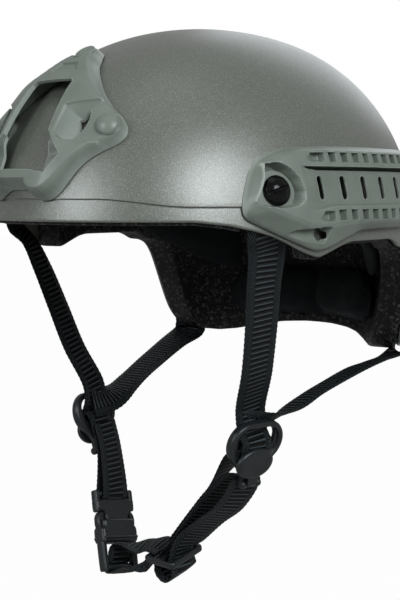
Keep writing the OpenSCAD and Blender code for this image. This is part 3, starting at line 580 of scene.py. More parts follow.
def liner():
    degrees = round_columns(COLUMN_GAP)
    b = np.radians(degrees)
    # The notch that each front strap comes down through
    notch = smooth(9.0, 7.4, np.abs(folded(b) - NOTCH_AT))
    lift = notch * np.maximum(0, NOTCH_TOP - edge_level(degrees))
    def ring(share, inset, off, rise=0.0):
        row = from_edge(degrees, EAR_BEVEL * share, LINER_SHOWS - lift)
        return row(inset, off, rise, BAND)
    def roof(f, off):
        return dome(b, mix(BAND, crown(off), math.sin(math.pi / 2 * f)) + 0 * b, off)
    outer = [roof(f, LINER_OUT) for f in np.linspace(0.985, 0.04, 24)]
    outer += [ring(0, 1.0, LINER_OUT, f) for f in np.linspace(1, 0, 18)]
    lip = [ring(share, inset, mix(LINER_OUT, LINER_IN, share)) for share, inset in
           [(0.02, 0.4), (0.06, 0.1), (0.15, 0.0), (0.3, 0.0), (0.45, 0.0), (0.6, 0.0),
            (0.75, 0.0), (0.88, 0.1), (0.95, 0.5), (0.99, 1.2)]]
    inner = [ring(1, 2.2, LINER_IN, f) for f in np.linspace(0, 1, 34)]
    inner += [roof(f, LINER_IN) for f in np.linspace(0.03, 0.985, 34)]
    bowl("liner_foam", "foam_liner", outer + lip + inner, 60.0)


# ---- Flat outlines, and plates moulded from them


def distance(points, loop):
    """Signed distance of points from a closed outline: positive inside."""
    loop = np.asarray(loop, float)
    a, c = loop, np.roll(loop, -1, 0)
    shape = points.shape[:-1]
    p = points.reshape(-1, 2)
    best = np.full(len(p), 1e9)
    inside = np.zeros(len(p), bool)
    for s, e in zip(a, c):
        d = e - s
        f = np.clip(((p - s) @ d) / max(d @ d, 1e-12), 0, 1)
        best = np.minimum(best, np.hypot(*(p - s - f[:, None] * d).T))
        cross = (s[1] > p[:, 1]) != (e[1] > p[:, 1])
        if s[1] != e[1]:
            x = s[0] + (p[:, 1] - s[1]) / (e[1] - s[1]) * d[0]
            inside ^= cross & (p[:, 0] < x)
    return np.where(inside, best, -best).reshape(shape)


def rounded(loop, times=2, cut=0.22):
    """The outline with its corners cut again and again."""
    loop = np.asarray(loop, float)
    for _ in range(times):
        after = np.roll(loop, -1, 0)
        loop = np.stack([mix(loop, after, cut), mix(loop, after, 1 - cut)], 1).reshape(-1, 2)
    return loop


def disc(centre, r, n=40):
    a = np.linspace(0, 2 * np.pi, n, endpoint=False)
    return np.stack([centre[0] + r * np.cos(a), centre[1] + r * np.sin(a)], 1)


def slot_loop(centre, half, r, n=10):
    """A round-ended slot: half is the vector from its middle to an end's centre."""
    half = np.asarray(half, float)
    turn = math.atan2(half[1], half[0])
    a = np.linspace(-np.pi / 2, np.pi / 2, n) + turn
    arc = r * np.stack([np.cos(a), np.sin(a)], 1)
    return np.concatenate([centre + half + arc, centre - half - arc])


def lifted(p, h):
    """Points of a plane with their heights, as points in space."""
    return np.stack([p[:, 0], p[:, 1], h], 1)


def flat(h):
    """A flat face at this height."""
    return lambda p: np.full(len(p), float(h))


def rounding(d, r):
    """How far a face has dropped at distance d from an edge rounded to r."""
    d = np.clip(d, 0, r)
    return r - np.sqrt(np.clip(r * r - (r - d) ** 2, 0, None))


def eased(loop, holes, tall, r):
    """A face at this height with its edges rounded to r."""
    def face(p):
        d = distance(p, loop)
        for w in holes:
            d = np.minimum(d, -distance(p, w))
        return tall - rounding(d, r)
    return face


def moulded(outline, holes, step, front, back, place):
    """Vertices and faces of a plate: front and back give its two heights at points of
    its plane, and place sets a point and its height in space."""
    loops = [np.asarray(outline, float)] + [np.asarray(h, float) for h in holes]
    lo, hi = loops[0].min(0) - 1.5 * step, loops[0].max(0) + 1.5 * step
    u, v = np.arange(lo[0], hi[0], step), np.arange(lo[1], hi[1], step)
    p = np.stack(np.meshgrid(u, v, indexing="ij"), -1)

    def room(q):
        d = distance(q, loops[0])
        for h in loops[1:]:
            box_lo, box_hi = h.min(0) - 2, h.max(0) + 2
            near = ((q > box_lo) & (q < box_hi)).all(-1)
            d[near] = np.minimum(d[near], -distance(q[near], h))
        return d
    keep = room((p[:-1, :-1] + p[1:, 1:]) / 2) > 0
    used = np.zeros(p.shape[:2], int)
    for i in (0, 1):
        for j in (0, 1):
            used[i:i + keep.shape[0], j:j + keep.shape[1]] += keep
    rim = (used > 0) & (used < 4)
    q = p[rim]
    for _ in range(2):
        d, e = room(q), 0.05
        slope = np.stack([room(q + [e, 0]) - room(q - [e, 0]),
                          room(q + [0, e]) - room(q - [0, e])], -1)
        slope /= np.maximum(np.linalg.norm(slope, axis=-1, keepdims=True), 1e-6)
        q = q - slope * d[:, None] * 0.98
    p[rim] = q
    index = np.full(p.shape[:2], -1)
    index[used > 0] = np.arange((used > 0).sum())
    spots = p[used > 0]
    verts = np.concatenate([place(spots, front(spots)), place(spots, back(spots))])
    n = len(spots)
    i, j = np.nonzero(keep)
    quad = np.stack([index[i, j], index[i + 1, j], index[i + 1, j + 1], index[i, j + 1]], 1)
    edges = np.concatenate([quad[:, [k, (k + 1) % 4]] for k in range(4)])
    seen = set(map(tuple, edges.tolist()))
    walls = [(b, a, a + n, b + n) for a, b in edges.tolist() if (b, a) not in seen]
    faces = quad.tolist() + (quad[:, ::-1] + n).tolist() + walls
    return verts, faces


# ---- Side rails

RAIL_TOP = [(-75.3, 7), (-74.4, 11), (-72.8, 15.4), (-69.8, 22.3), (-64.6, 28.4),
            (-55.7, 32.6), (-46.1, 34.8), (-32.8, 35.7), (-13.6, 36.1), (84, 36.1),
            (90, 33), (93.6, 26)]
RAIL_FOOT = [(-75.4, 4.4), (-74.8, 2.3), (-72.5, 0.2), (-57.9, -6.9), (-42.2, -13.1),
             (-38.2, -14), (-33.9, -13.2), (-24.8, -10.1), (-12.3, -6), (-5.9, -4.5),
             (84, -4.5), (90, -1.5), (93.6, 5)]
RAIL_OUTLINE = rounded(RAIL_FOOT + RAIL_TOP[::-1])
RAIL_RIDGE = rounded([(-73.4, 8.6), (-62.2, 3.5), (-54.4, 0.8), (-47, -2.4), (-36.6, -2.4),
                      (-29.6, -1.3), (-18.5, -0.4), (84, -0.4), (88.5, 3), (90.5, 10),
                      (90.5, 25), (87, 31.5), (82, 33.8), (-34.8, 33.8), (-46, 33.2),
                      (-52.6, 32.1), (-57.9, 29.8), (-62.5, 27.2), (-65.6, 25.6),
                      (-69.6, 18.5)], 2, 0.2)
RAIL_H, RAIL_WALL, FOOT_SINK = 8.5, 0.8, 0.4
BOLT_SEAT = 4.5
FRONT_BOLT, REAR_BOLT = (-26.0, 13.4), (36.0, 15.0)  # bearing and level
CHANNEL_DEEP, GROOVE_FLOOR, RECESS_FLOOR = 3.3, 1.4, 2.4
# Pockets of the two lips: first one's place, level of its middle, half its height
POCKETS, POCKET_PITCH, POCKET_FLOOR = ((-28.9, 30.3, 2.15), (-27.9, 2.9, 2.3)), 8.5, 4.6
# Pockets that lead in: both ends, foot and top
LEAD_POCKETS = ((-46.3, -34.2, 28.3, 32.2), (-43.5, -33.4, 0.3, 4.6))
SLOT_START, SLOT_PITCH, SLOT_HALF, SLOT_R = (-37.0, 15.8), 16.1, (0.2, -3.7), 2.1
LANYARD_AT, LANYARD_R = (-38.5, -6.2), 3.1
MOAT_R, MOAT_FLOOR = 9.3, 1.6
FRONT_SOCKET = [(-73.6, 8.8), (-65.4, 26.8), (-61, 27.4), (-55.5, 24.5), (-51.5, 19.5),
                (-49.8, 14), (-50.8, 10.3), (-54.3, 7.8), (-60.4, 6.6), (-71, 7.6)]


def bolt_in_plane(at, off):
    """Where a bolt's axis meets the rail's face, as (Y, level)."""
    return off_dome(at, off)[1:]


def cut(height, points, loop, depth_to, edge=0.7):
    """Lowers height to depth_to inside an outline, over a short sloping edge."""
    d = distance(points, loop)
    f = smooth(-edge / 2, edge / 2, d)
    return np.where(f > 0, np.minimum(height, mix(height, depth_to, f)), height)


def rail_height(p):
    y, z = p[:, 0], p[:, 1]
    out, ridge = distance(p, RAIL_OUTLINE), -distance(p, RAIL_RIDGE)
    f = np.clip(out, 0, None) / (np.clip(out, 0, None) + np.clip(ridge, 1e-3, None))
    f = np.where(ridge < 0, 1.0, f)
    foot = 3.2 - 1.6 * smooth(-30, -40, y) * smooth(6, 0, z)
    h = mix(foot, RAIL_H, f) - 0.35 * smooth(1.0, 0.0, np.abs(ridge)) \
        - 0.5 * smooth(0.7, 0.0, out)
    # Accessory channel, its ramp, and the dark groove under the upper lip
    low = np.interp(y, [-50, -42.7, -35.3, -31.2], [5.4, 5.6, 7.0, 7.4])
    high = np.interp(y, [-50, -44, 66], [25.8, 25.5, 25.6])
    floor = RAIL_H - 0.25 - CHANNEL_DEEP * np.clip((y + 49.3) / 14, 0, 1) * smooth(66, 60, y)
    inside = smooth(low - 0.25, low + 0.45, z) * smooth(high + 0.25, high - 0.15, z) \
        * smooth(-49.6, -49.1, y) * smooth(66.5, 65.8, y)
    h = mix(h, np.minimum(h, floor), inside)
    groove_low = np.interp(y, [-47, -43, -36, -28], [25.5, 24.7, 24.3, 24.3])
    groove = smooth(groove_low - 0.2, groove_low + 0.2, z) \
        * smooth(high + 0.2, high - 0.2, z) * smooth(-47.5, -44, y) * smooth(62, 60, y)
    h = mix(h, np.minimum(h, GROOVE_FLOOR), groove)
    # Pockets in the lips, and the tapered ones that lead in
    for i in range(11):
        for at, z0, tall in POCKETS:
            c = at + POCKET_PITCH * i
            h = cut(h, p, [(c - 2.3, z0 - tall), (c + 2.1, z0 - tall), (c + 2.1, z0 + tall),
                           (c - 2.3, z0 + tall)], POCKET_FLOOR, 0.5)
    for y0, y1, low_z, high_z in LEAD_POCKETS:
        ramp_to = mix(RAIL_H, 4.8, smooth(y0, y1 - 2, y))
        h = cut(h, p, [(y0, low_z), (y1, low_z), (y1, high_z), (y0 + 4, high_z)], ramp_to, 0.6)
    # Bolt sockets: the front one runs out to a corner towards the nose
    h = cut(h, p, rounded(FRONT_SOCKET, 1, 0.14), BOLT_SEAT, 0.8)
    # A dark moat round the far side of the bolt's seat
    seat = bolt_in_plane(FRONT_BOLT, BOLT_SEAT)
    moat = -distance(p, disc(seat, MOAT_R, 60))
    beside = smooth(-4, 1, (y - seat[0]) + 0.9 * (z - seat[1]))
    in_socket = smooth(0.5, 1.1, distance(p, FRONT_SOCKET))
    h = mix(h, np.minimum(h, MOAT_FLOOR), smooth(0, 0.5, moat) * beside * in_socket)
    h = cut(h, p, disc(bolt_in_plane(REAR_BOLT, BOLT_SEAT + 2), 9.9), BOLT_SEAT, 0.9)
    # Lanyard recess on the wing
    recess = rounded([(-56, -5.4), (-53.3, -4), (-35.2, -2.6), (-36.6, -10.2),
                      (-47.3, -8.8), (-53.5, -7)], 1, 0.1)
    return cut(h, p, recess, RECESS_FLOOR, 0.7)


PLATE_STEP = 0.4  # the grid of the rails' and the shroud's moulding, mm


def hollow(outline, height, wall, gap, start, most):
    """A back that is hollow from start inwards, so that holes look into the dark, but no
    higher than most; its foot stands in the shell, but for a fine dark gap outside."""
    def back(p):
        d = distance(p, outline)
        foot = mix(gap, -FOOT_SINK, smooth(0.8, 1.4, d))
        return np.clip(mix(foot, height(p) - wall, smooth(start, 3.8, d)),
                       -FOOT_SINK, most)
    return back


def rails():
    holes = [slot_loop((SLOT_START[0] + SLOT_PITCH * i, SLOT_START[1]), SLOT_HALF, SLOT_R)
             for i in range(6)]
    holes.append(disc(LANYARD_AT, LANYARD_R))
    back = hollow(RAIL_OUTLINE, rail_height, RAIL_WALL, 0.45, 2.4, 4.2)
    verts, faces = moulded(RAIL_OUTLINE, holes, PLATE_STEP, rail_height, back,
                           lambda p, h: side_point(p[:, 0], p[:, 1], h))
    piece("rail_moulding_left", verts, faces, ["rail_left"])
    piece("rail_moulding_right", flipped(verts), faces, ["rail_right"])


# ---- Front shroud, laid out on a plane that leans back with the brow

LEAN = math.radians(60)
SHROUD_WALL, SHROUD_SEAT, TOP_SEAT = 1.6, 6.3, 6.5
WING_BOLT, TOP_BOLT = (-66.5, 41.5), (-90.0, 77.0)  # bearing and level
SHROUD_HALF = [(0, -53), (8, -53), (13.5, -57.4), (19.5, -57), (23, -54.8), (25.8, -51.2),
               (28.2, -46.2), (30.8, -40.7), (34.6, -34.8), (39.6, -29.8), (45, -24.6),
               (47.2, -19.8), (46.2, -15.6), (42.4, -11.2), (35.4, -6.6), (26.4, 1.2),
               (16.7, 12), (10.6, 19), (8, 23.6), (5.6, 27), (4.2, 29.4), (2.8, 31.2), (0, 32.4)]
SHROUD_OUTLINE = rounded(SHROUD_HALF + [(-x, y) for x, y in SHROUD_HALF[-2:0:-1]])


def brow_point(p, off):
    """A point of the leaning plane, set where the dome at that offset lies under it."""
    u, v = p[:, 0], p[:, 1]
    lo, hi = np.full(len(p), 20.0), np.full(len(p), 200.0)
    c, s = math.cos(LEAN), math.sin(LEAN)
    for _ in range(24):
        t = (lo + hi) / 2
        y, z = v * c - t * s, v * s + t * c
        ax, ay = np.abs(u) / (HALF_WIDTH + off), np.abs(y) / reach(y, off)
        r = (ax ** PLAN + ay ** PLAN) ** (1 / PLAN)
        b = np.arcsin(np.clip(np.sign(y) * (ay / r) ** (PLAN / 2), -1, 1))
        full = np.where(z + WAIST >= RISE + off, 2.0,
                        r / np.maximum(girth(b, z, off), 1e-3))
        lo, hi = np.where(full < 1, t, lo), np.where(full < 1, hi, t)
    t = (lo + hi) / 2
    return np.stack([u, v * c - t * s, v * s + t * c], -1)


def in_brow_plane(at, off):
    p = off_dome(at, off)
    return np.array([p[0], p[1] * math.cos(LEAN) + p[2] * math.sin(LEAN)])


def line_distance(p, a, b):
    """Distance to the right of the line from a to b."""
    d = np.subtract(b, a) / math.dist(a, b)
    return (p[:, 0] - a[0]) * d[1] - (p[:, 1] - a[1]) * d[0]


def shroud_height(q):
    p = np.stack([np.abs(q[:, 0]), q[:, 1]], 1)
    u, v = p[:, 0], p[:, 1]
    d = distance(p, SHROUD_OUTLINE)
    h = 7.0 + 2.5 * smooth(33, 19, u) * (1 - 0.45 * smooth(-4, 12, v)) \
        - 1.4 * smooth(18, 30, v)
    # The face rounds over into a steep edge
    h = mix(4.4, h, np.clip(d / 1.5, 0, 1) ** 0.5)
    # Foot bar's sloping underside
    under = smooth(-51.5, -53.2, v) * smooth(11, 8, u)
    h = mix(h, np.minimum(h, 3.4), under)
    # Screw plateau on the wing, a little lower than the face round the window
    low = distance(p, [(19, -28), (18.9, -12.5), (35.6, -4.4), (60, -4), (60, -22.5),
                       (46.5, -25), (41.3, -28), (33, -30.5), (24.2, -31.2)])
    h = h - 0.8 * smooth(-0.3, 0.4, low)
    # Three-cornered pocket: two facets that fall to a valley, and a small opening
    pocket = [(19.6, -28.4), (18.6, -12.6), (35.4, -4.3), (30.5, -12.7), (31.6, -14.8),
              (32.3, -18), (32.1, -21), (31.3, -24.4), (28.1, -29.1), (24.2, -30.9), (21, -30.2)]
    left = line_distance(p, (19.6, -28.4), (18.6, -12.6))
    above = line_distance(p, (18.6, -12.6), (35.4, -4.3))
    depth = np.clip(0.7 * np.minimum(left, above), 0, 6.0)
    inside = smooth(-0.25, 0.25, distance(p, pocket))
    h = mix(h, h - depth, inside)
    # Ledge beside the window's foot
    ledge = [(15, -26.4), (16.5, -28), (25.2, -38.2), (20.8, -47.6), (14, -47.6)]
    floor = mix(7.0, 4.4, smooth(-31, -38.5, v - 0.25 * (u - 16.5)))
    h = cut(h, p, ledge, floor, 0.7)
    # Recess between the top screw and the window
    h = cut(h, p, [(-9, 10.6), (9, 10.6), (5.6, 16.2), (-9, 16.2)], 7.4, 1.0)
    for at, seat in ((WING_BOLT, SHROUD_SEAT), (TOP_BOLT, TOP_SEAT)):
        h = cut(h, p, disc(in_brow_plane(at, seat), 6.2), seat, 0.6)
    return h


def shroud():
    window = rounded([(-14.2, 3.4), (-16.5, -28), (-16, -47.6), (16, -47.6), (16.5, -28),
                      (14.2, 3.4)], 2, 0.06)
    opening = [(31.8, -16.5), (31.9, -20.2), (27.4, -24.8), (24.8, -18), (28.4, -13.4),
               (31.2, -13.8)]
    holes = [window, opening, [(-x, y) for x, y in opening[::-1]]]
    back = hollow(SHROUD_OUTLINE, shroud_height, SHROUD_WALL, 0.5, 2.6, 7.0)
    verts, faces = moulded(SHROUD_OUTLINE, holes, PLATE_STEP, shroud_height, back,
                           brow_point)
    piece("shroud_moulding", verts, faces, ["shroud"])


# ---- Screws


def on_dome(at, off):
    """Origin and axes of a fastener's place: x down the slope, y rearwards, z out."""
    n = dome_way(math.radians(at[0]), at[1])
    x = np.array([n[0] * n[2], n[1] * n[2], -(n[0] ** 2 + n[1] ** 2)])
    x /= np.linalg.norm(x)
    return off_dome(at, off), np.stack([x, np.cross(n, x), n], 1)


# The rim's height under a screw's dome, and how its driver slot is turned
HEAD_RIM, SLOT_TURN = 0.9, math.radians(109)


def screw_head(at, seat, r, tall, slot):
    """Domed head on a low rim, with an optional driver slot."""
    ball = (r * r + (tall - HEAD_RIM) ** 2) / (2 * (tall - HEAD_RIM))
    def front(p):
        d2 = (p ** 2).sum(1)
        h = HEAD_RIM + np.sqrt(np.clip(ball ** 2 - d2, 0, None)) - (ball - tall + HEAD_RIM)
        h -= 0.35 * smooth(r - 0.6, r, np.sqrt(d2))
        if slot:
            across = np.abs(p[:, 1] * math.cos(SLOT_TURN) - p[:, 0] * math.sin(SLOT_TURN))
            h = mix(h, np.minimum(h, tall - 2.4), smooth(slot / 2 + 0.18, slot / 2 - 0.12, across))
            h = np.maximum(h, HEAD_RIM)
        return h
    origin, axes = on_dome(at, seat)
    return moulded(disc((0, 0), r, 72), [], 0.22, front, flat(0),
                   lambda p, h: origin + lifted(p, h) @ axes.T)


def join(parts):
    verts, faces, n = [], [], 0
    for v, f in parts:
        verts.append(v)
        faces += [tuple(i + n for i in face) for face in f]
        n += len(v)
    return np.concatenate(verts), faces


def mirrored(part):
    return flipped(part[0]), [tuple(f)[::-1] for f in part[1]]


def screws():
    # Each head stands just clear of its seat: radius, height, width of its slot
    for name, at in (("rail_front_screws", FRONT_BOLT), ("rail_rear_screws", REAR_BOLT)):
        one = screw_head(at, BOLT_SEAT + 0.05, 7.2, 4.6, 1.3)
        piece(name.replace("screws", "bolt_heads"), *join([one, mirrored(one)]), [name], 40.0)
    wing = screw_head(WING_BOLT, SHROUD_SEAT + 0.05, 5.8, 3.4, 0)
    top = screw_head(TOP_BOLT, TOP_SEAT + 0.05, 5.4, 1.9, 0)
    piece("shroud_screw_heads", *join([wing, mirrored(wing), top]), ["shroud_screws"], 40.0)


# ---- Webbing


def spline(points, step):
    """A smooth line through points, sampled evenly; also gives where each falls."""
    p = np.asarray(points, float)
    gaps = np.sqrt(np.linalg.norm(np.diff(p[:, :3], axis=0), axis=1))
    t = np.concatenate([[0], np.cumsum(gaps)])
    slope = np.empty_like(p)
    slope[1:-1] = ((p[1:-1] - p[:-2]) / gaps[:-1, None] * gaps[1:, None]
                   + (p[2:] - p[1:-1]) / gaps[1:, None] * gaps[:-1, None]) \
        / (gaps[:-1] + gaps[1:])[:, None]
    slope[0], slope[-1] = (p[1] - p[0]) / gaps[0], (p[-1] - p[-2]) / gaps[-1]
    fine = np.linspace(0, t[-1], 60 * len(p))
    k = np.clip(np.searchsorted(t, fine, "right") - 1, 0, len(p) - 2)
    g, f = gaps[k][:, None], ((fine - t[k]) / gaps[k])[:, None]
    line = (2 * f ** 3 - 3 * f ** 2 + 1) * p[k] + (f ** 3 - 2 * f ** 2 + f) * g * slope[k] \
        + (3 * f ** 2 - 2 * f ** 3) * p[k + 1] + (f ** 3 - f ** 2) * g * slope[k + 1]
    along = np.concatenate([[0], np.cumsum(np.linalg.norm(np.diff(line[:, :3], axis=0), axis=1))])
    even = np.linspace(0, along[-1], max(3, int(along[-1] / step)))
    return np.stack([np.interp(even, along, c) for c in line.T], 1), even


WEB_W, WEB_T = 20.0, 1.4


def webbing(stations):
    """Woven strap through stations of middle, width direction and edge dip."""
    rows = [list(s[0]) + list(np.array(s[1], float) / np.linalg.norm(s[1]))
            + [s[2] if len(s) > 2 else 0.0] for s in stations]
    line, along = spline(rows, 0.58)
    mid, wide, dip = line[:, :3], line[:, 3:6], line[:, 6]
    way = unit(np.gradient(mid, axis=0))
    wide = unit(wide - way * (wide * way).sum(1)[:, None])
    out = np.cross(way, wide)
    s = np.sin(np.linspace(-np.pi / 2, np.pi / 2, 35))
    loop_u = np.concatenate([s, s[::-1]])
    face = np.concatenate([np.ones(35), -np.ones(35)])
    u = loop_u * WEB_W / 2
    body = WEB_T / 2 * (1 - np.abs(loop_u) ** 7) ** 0.5 - 0.12
    middle = smooth(SELVEDGE + 0.5, SELVEDGE - 0.3, np.abs(u))
    wave = np.cos(2 * np.pi * along / RIB)[:, None]
    relief = middle * (0.17 * wave) + (1 - middle) * 0.05
    relief = relief * (np.abs(loop_u) < 0.999)
    spread = 1 + 0.014 * wave * np.abs(loop_u) ** 3 - 0.012
    verts = mid[:, None] + wide[:, None] * (u * spread)[..., None] \
        + out[:, None] * (face * (body + relief) - dip[:, None] * loop_u ** 2)[..., None]
    n, count = len(u), len(mid)
    faces = [tuple(f) for f in strips(count, n)]
    faces += [tuple(range(n))[::-1], tuple((count - 1) * n + k for k in range(n))]
    weave = np.stack(np.broadcast_arrays(u[None], along[:, None]), -1).reshape(-1, 2)
    return verts.reshape(-1, 3), faces, weave


def spun(axis, p, degrees):
    """A point turned about the x, y or z axis (0, 1 or 2)."""
    i, j, a = (axis + 1) % 3, (axis + 2) % 3, math.radians(degrees)
    out = np.array(p, float)
    out[i] = p[i] * math.cos(a) - p[j] * math.sin(a)
    out[j] = p[i] * math.sin(a) + p[j] * math.cos(a)
    return out


DIVIDER_AT, DIVIDER_ROLL, DIVIDER_TIP = np.array([60.0, -30, -117]), -10, 105


def divider_way(p):
    return spun(2, spun(1, p, DIVIDER_TIP), DIVIDER_ROLL)


def in_divider(p):
    return DIVIDER_AT + divider_way(p)


BUCKLE_AT, BUCKLE_TILT, BUCKLE_LEAN = np.array([-47.5, -29, -162.5]), -12, -20
LOWER_BAR, BAR_R, WRAP_R = -41.8, 1.8, 3.1
BUCKLE_WAY = spun(0, [0, 1, 0], BUCKLE_TILT)
SLIDE_AT, SLIDE_TILT = np.array([2.0, -29, -187]), 12
CHIN_Y = -29.0
STRAP_OFF = -4.9  # the straps' middle inside the shell, off the dome
SLIDE_WAY = spun(0, [0, 1, 0], SLIDE_TILT)
# How far each station of the far front strap hangs from its mirrored place
FAR_SWAY = [(0, 0, 0)] * 5 + [(-1.0, 0.9, 0), (-1.8, 1.5, 0), (-1.9, 1.6, 0)] + [(0, 0, 0)] * 5
# Straps that cross a joint: the body beyond it, and where they start to follow it
# and wholly do, in metres
CROSSING = {"chin_strap_left": ("slide", (0.0226, -0.029, -0.155), (0.002, -0.029, -0.185)),
            "buckle_strap": ("buckle_half", (-0.012, -0.0295, -0.189),
                             (-0.03, -0.036, -0.198))}
# Which way the width of the webbing lies
STRAND_WAY, TAIL_WAY = (-0.12, 0.97, 0.2), (0.19, 0.96, -0.22)
CROSS_WAY, DOWN_WAY = divider_way([0, 1, 0]), divider_way([1, 0, 0])


def in_buckle(p):
    return BUCKLE_AT + spun(0, spun(1, p, BUCKLE_LEAN), BUCKLE_TILT)


def inside_run(path):
    """Stations inside the shell, from bearings in degrees and levels."""
    stations = []
    for degrees, z in path:
        n = dome_way(math.radians(degrees), z)
        stations.append((off_dome((degrees, z), STRAP_OFF), (-n[1], n[0], 0.0), 0.5))
    return stations


def bar_wrap(z, degrees):
    """Stations round a bar of the buckle, at angles about it."""
    return [(in_buckle([WRAP_R * math.cos(math.radians(a)), 0,
                        z + WRAP_R * math.sin(math.radians(a))]), BUCKLE_WAY)
            for a in degrees]


def chin_run(path, way=SLIDE_WAY):
    return [((x, CHIN_Y, z), way) for x, z in path]


def mirror_station(s):
    return (flipped(s[0]), flipped(s[1])) + tuple(s[2:])


def harness():
    front = inside_run([(-27.2, 26), (-27.2, 16), (-26.8, 4), (-26.4, -5)]) \
        + [((87.5, -54.6, -15), (0.38, 0.92, 0)), ((83, -51, -30), (0.3, 0.95, 0)),
           ((77.3, -45.9, -52), (0.24, 0.97, 0)), ((70.1, -40.2, -76), (0.2, 0.98, 0)),
           (in_divider([-19, 0, -3.8]) + [-1.9, -1.7, 0], CROSS_WAY)] \
        + [(in_divider([x, y, z]), CROSS_WAY) for x, y, z in
           ((-10.2, -1, -3.6), (-6.5, -0.5, -1.2), (-3, 0, 1.9), (3.2, 0, 2.15))]
    inside = inside_run([(36, 25), (36, 15), (36, 0), (36, -18), (36, -36), (36, -54),
                         (36, -66), (36, -75)])
    behind = [(in_divider([-9, y, -5.3]), way) for y, way in
              ((8, (-0.62, 0.17, -0.77)), (-6, DOWN_WAY))]
    rear = inside + [((78.2, 72.4, -78.2), (-0.93, 0.34, -0.16)),
                     ((75.7, 58.8, -81.2), (-0.95, 0.22, -0.2)),
                     ((73.1, 45.5, -83.8), (-0.96, 0.22, -0.15)),
                     ((69.8, 28.2, -89), (-0.96, 0.23, -0.17)),
                     ((66.7, 11.3, -94.6), (-0.95, 0.25, -0.18)),
                     ((63.6, -4.9, -101.3), (-0.94, 0.28, -0.2))] + behind
    far_rear = inside + [((78.4, 73.2, -77.2), (-0.9, 0.35, -0.24)),
                         ((74.2, 51.2, -84), (-0.97, 0.22, -0.09)),
                         ((69.9, 28.1, -92), (-0.98, 0.2, -0.03)),
                         ((65.9, 7.3, -99.8), (-0.98, 0.19, 0)),
                         ((62.9, -6.5, -105), (-0.97, 0.18, -0.15))] + behind
    chin_left = [(in_divider([x, 0, z]), CROSS_WAY) for x, z in
                 ((-2.5, -1.6), (2, -2.9), (6, -6), (8.3, -9.7))] \
        + chin_run([(35.5, -138.7), (22.6, -155.3), (9.5, -172)], STRAND_WAY) \
        + chin_run([(1, -183), (-3, -188)])
    tail = chin_run([(-3.6, -189.5), (-2.2, -196), (4, -199), (9.5, -194), (7.3, -187)]) \
        + chin_run([(14, -177), (28.4, -164), (42.5, -153), (52.9, -138.4), (53.4, -134.8),
                    (50, -134), (37, -144.8), (25, -158.4), (14.5, -171.2), (9, -178)],
                   TAIL_WAY)
    buckle = [((-3.5, -29, -184.4), SLIDE_WAY), ((-10.5, -29.8, -184.3), SLIDE_WAY),
              ((-18, -31.3, -186.8), SLIDE_WAY)] \
        + [(in_buckle([x, 0, z]), BUCKLE_WAY) for x, z in
           ((10, -30.4), (5.5, -29.9), (3, -32.2), (1.4, -36))] \
        + bar_wrap(LOWER_BAR, range(100, 275, 29)) \
        + [((-24, -35.6, -199.8), BUCKLE_WAY), ((-18, -33.6, -196.8), SLIDE_WAY),
           ((-12, -31.5, -195.6), SLIDE_WAY)]
    def beside(path):
        return [mirror_station((in_divider([x, 0, z]), CROSS_WAY)) for x, z in path]
    chin_right = beside(((-2.5, -1.6), (2, -2.9), (6, -3.4), (20, -3.6))) \
        + bar_wrap(0, range(142, 360, 36)) + beside(((20, -6), (5, -5.7)))
    far_front = [(np.add(s[0], move),) + tuple(s[1:]) for s, move in zip(front, FAR_SWAY)]
    right = [mirror_station(s) for s in far_front], [mirror_station(s) for s in far_rear]
    for name, stations in (("front_strap_left", front), ("front_strap_right", right[0]),
                           ("rear_strap_left", rear), ("rear_strap_right", right[1]),
                           ("chin_strap_left", chin_left), ("chin_strap_right", chin_right),
                           ("buckle_strap", buckle), ("strap_tail", tail)):
        verts, faces, weave = webbing(stations)
        piece(name + "_web", verts, faces, [name], corner=80.0, weave=weave,
              crossing=CROSSING.get(name))


# ---- Dividers, caps, slide and buckle


def hull_loop(circles, n=96):
    """Outline round circles given as (x, y, r), seen from their middle."""
    angles = np.linspace(0, 2 * np.pi, n, endpoint=False)
    ways = np.stack([np.cos(angles), np.sin(angles)], 1)
    c = np.array(circles, float)
    which = np.argmax(c[:, :2] @ ways.T + c[:, 2:3], axis=0)
    return c[which, :2] + c[which, 2:3] * ways


def box_loop(x0, x1, y0, y1, r, n=6):
    corners = [(x1 - r, y1 - r, 0), (x0 + r, y1 - r, 90), (x0 + r, y0 + r, 180),
               (x1 - r, y0 + r, 270)]
    return np.array([(x + r * math.cos(math.radians(s + 90 * k / n)),
                      y + r * math.sin(math.radians(s + 90 * k / n)))
                     for x, y, s in corners for k in range(n + 1)])


def solid_of_turn(profile, n, place, squash=1.0):
    """A lathed solid: profile runs from its axis at the top to its axis at the bottom."""
    a = np.linspace(0, 2 * np.pi, n, endpoint=False)
    rows = [np.stack([r * np.cos(a), r * squash * np.sin(a), z + 0 * a], 1)
            for r, z in profile[1:-1]]
    verts, faces = closed(rows, profile[0][1], profile[-1][1])
    return place(verts), faces


def rod(a, b, r, n=32, bevel=0.3):
    """A round bar from a to b with eased ends."""
    a, b = np.asarray(a, float), np.asarray(b, float)
    length = np.linalg.norm(b - a)
    z = (b - a) / length
    x = np.cross(z, [0.3, 0.5, 0.81])
    x /= np.linalg.norm(x)
    axes = np.stack([x, np.cross(z, x), z], 1)
    profile = [(0, 0), (r - bevel, 0), (r, bevel), (r, length - bevel), (r - bevel, length),
               (0, length)]
    return solid_of_turn(profile, n, lambda v: a + v @ axes.T)


PLATE_HALF, RIM_IN, RIM_R, RIM_W = 1.1, 1.6, 1.75, 3.3  # the divider's padded rim
HINGE_X, HINGE_Z, KNUCKLE, HINGE_END = 20.4, 2.2, 3.7, 6.3


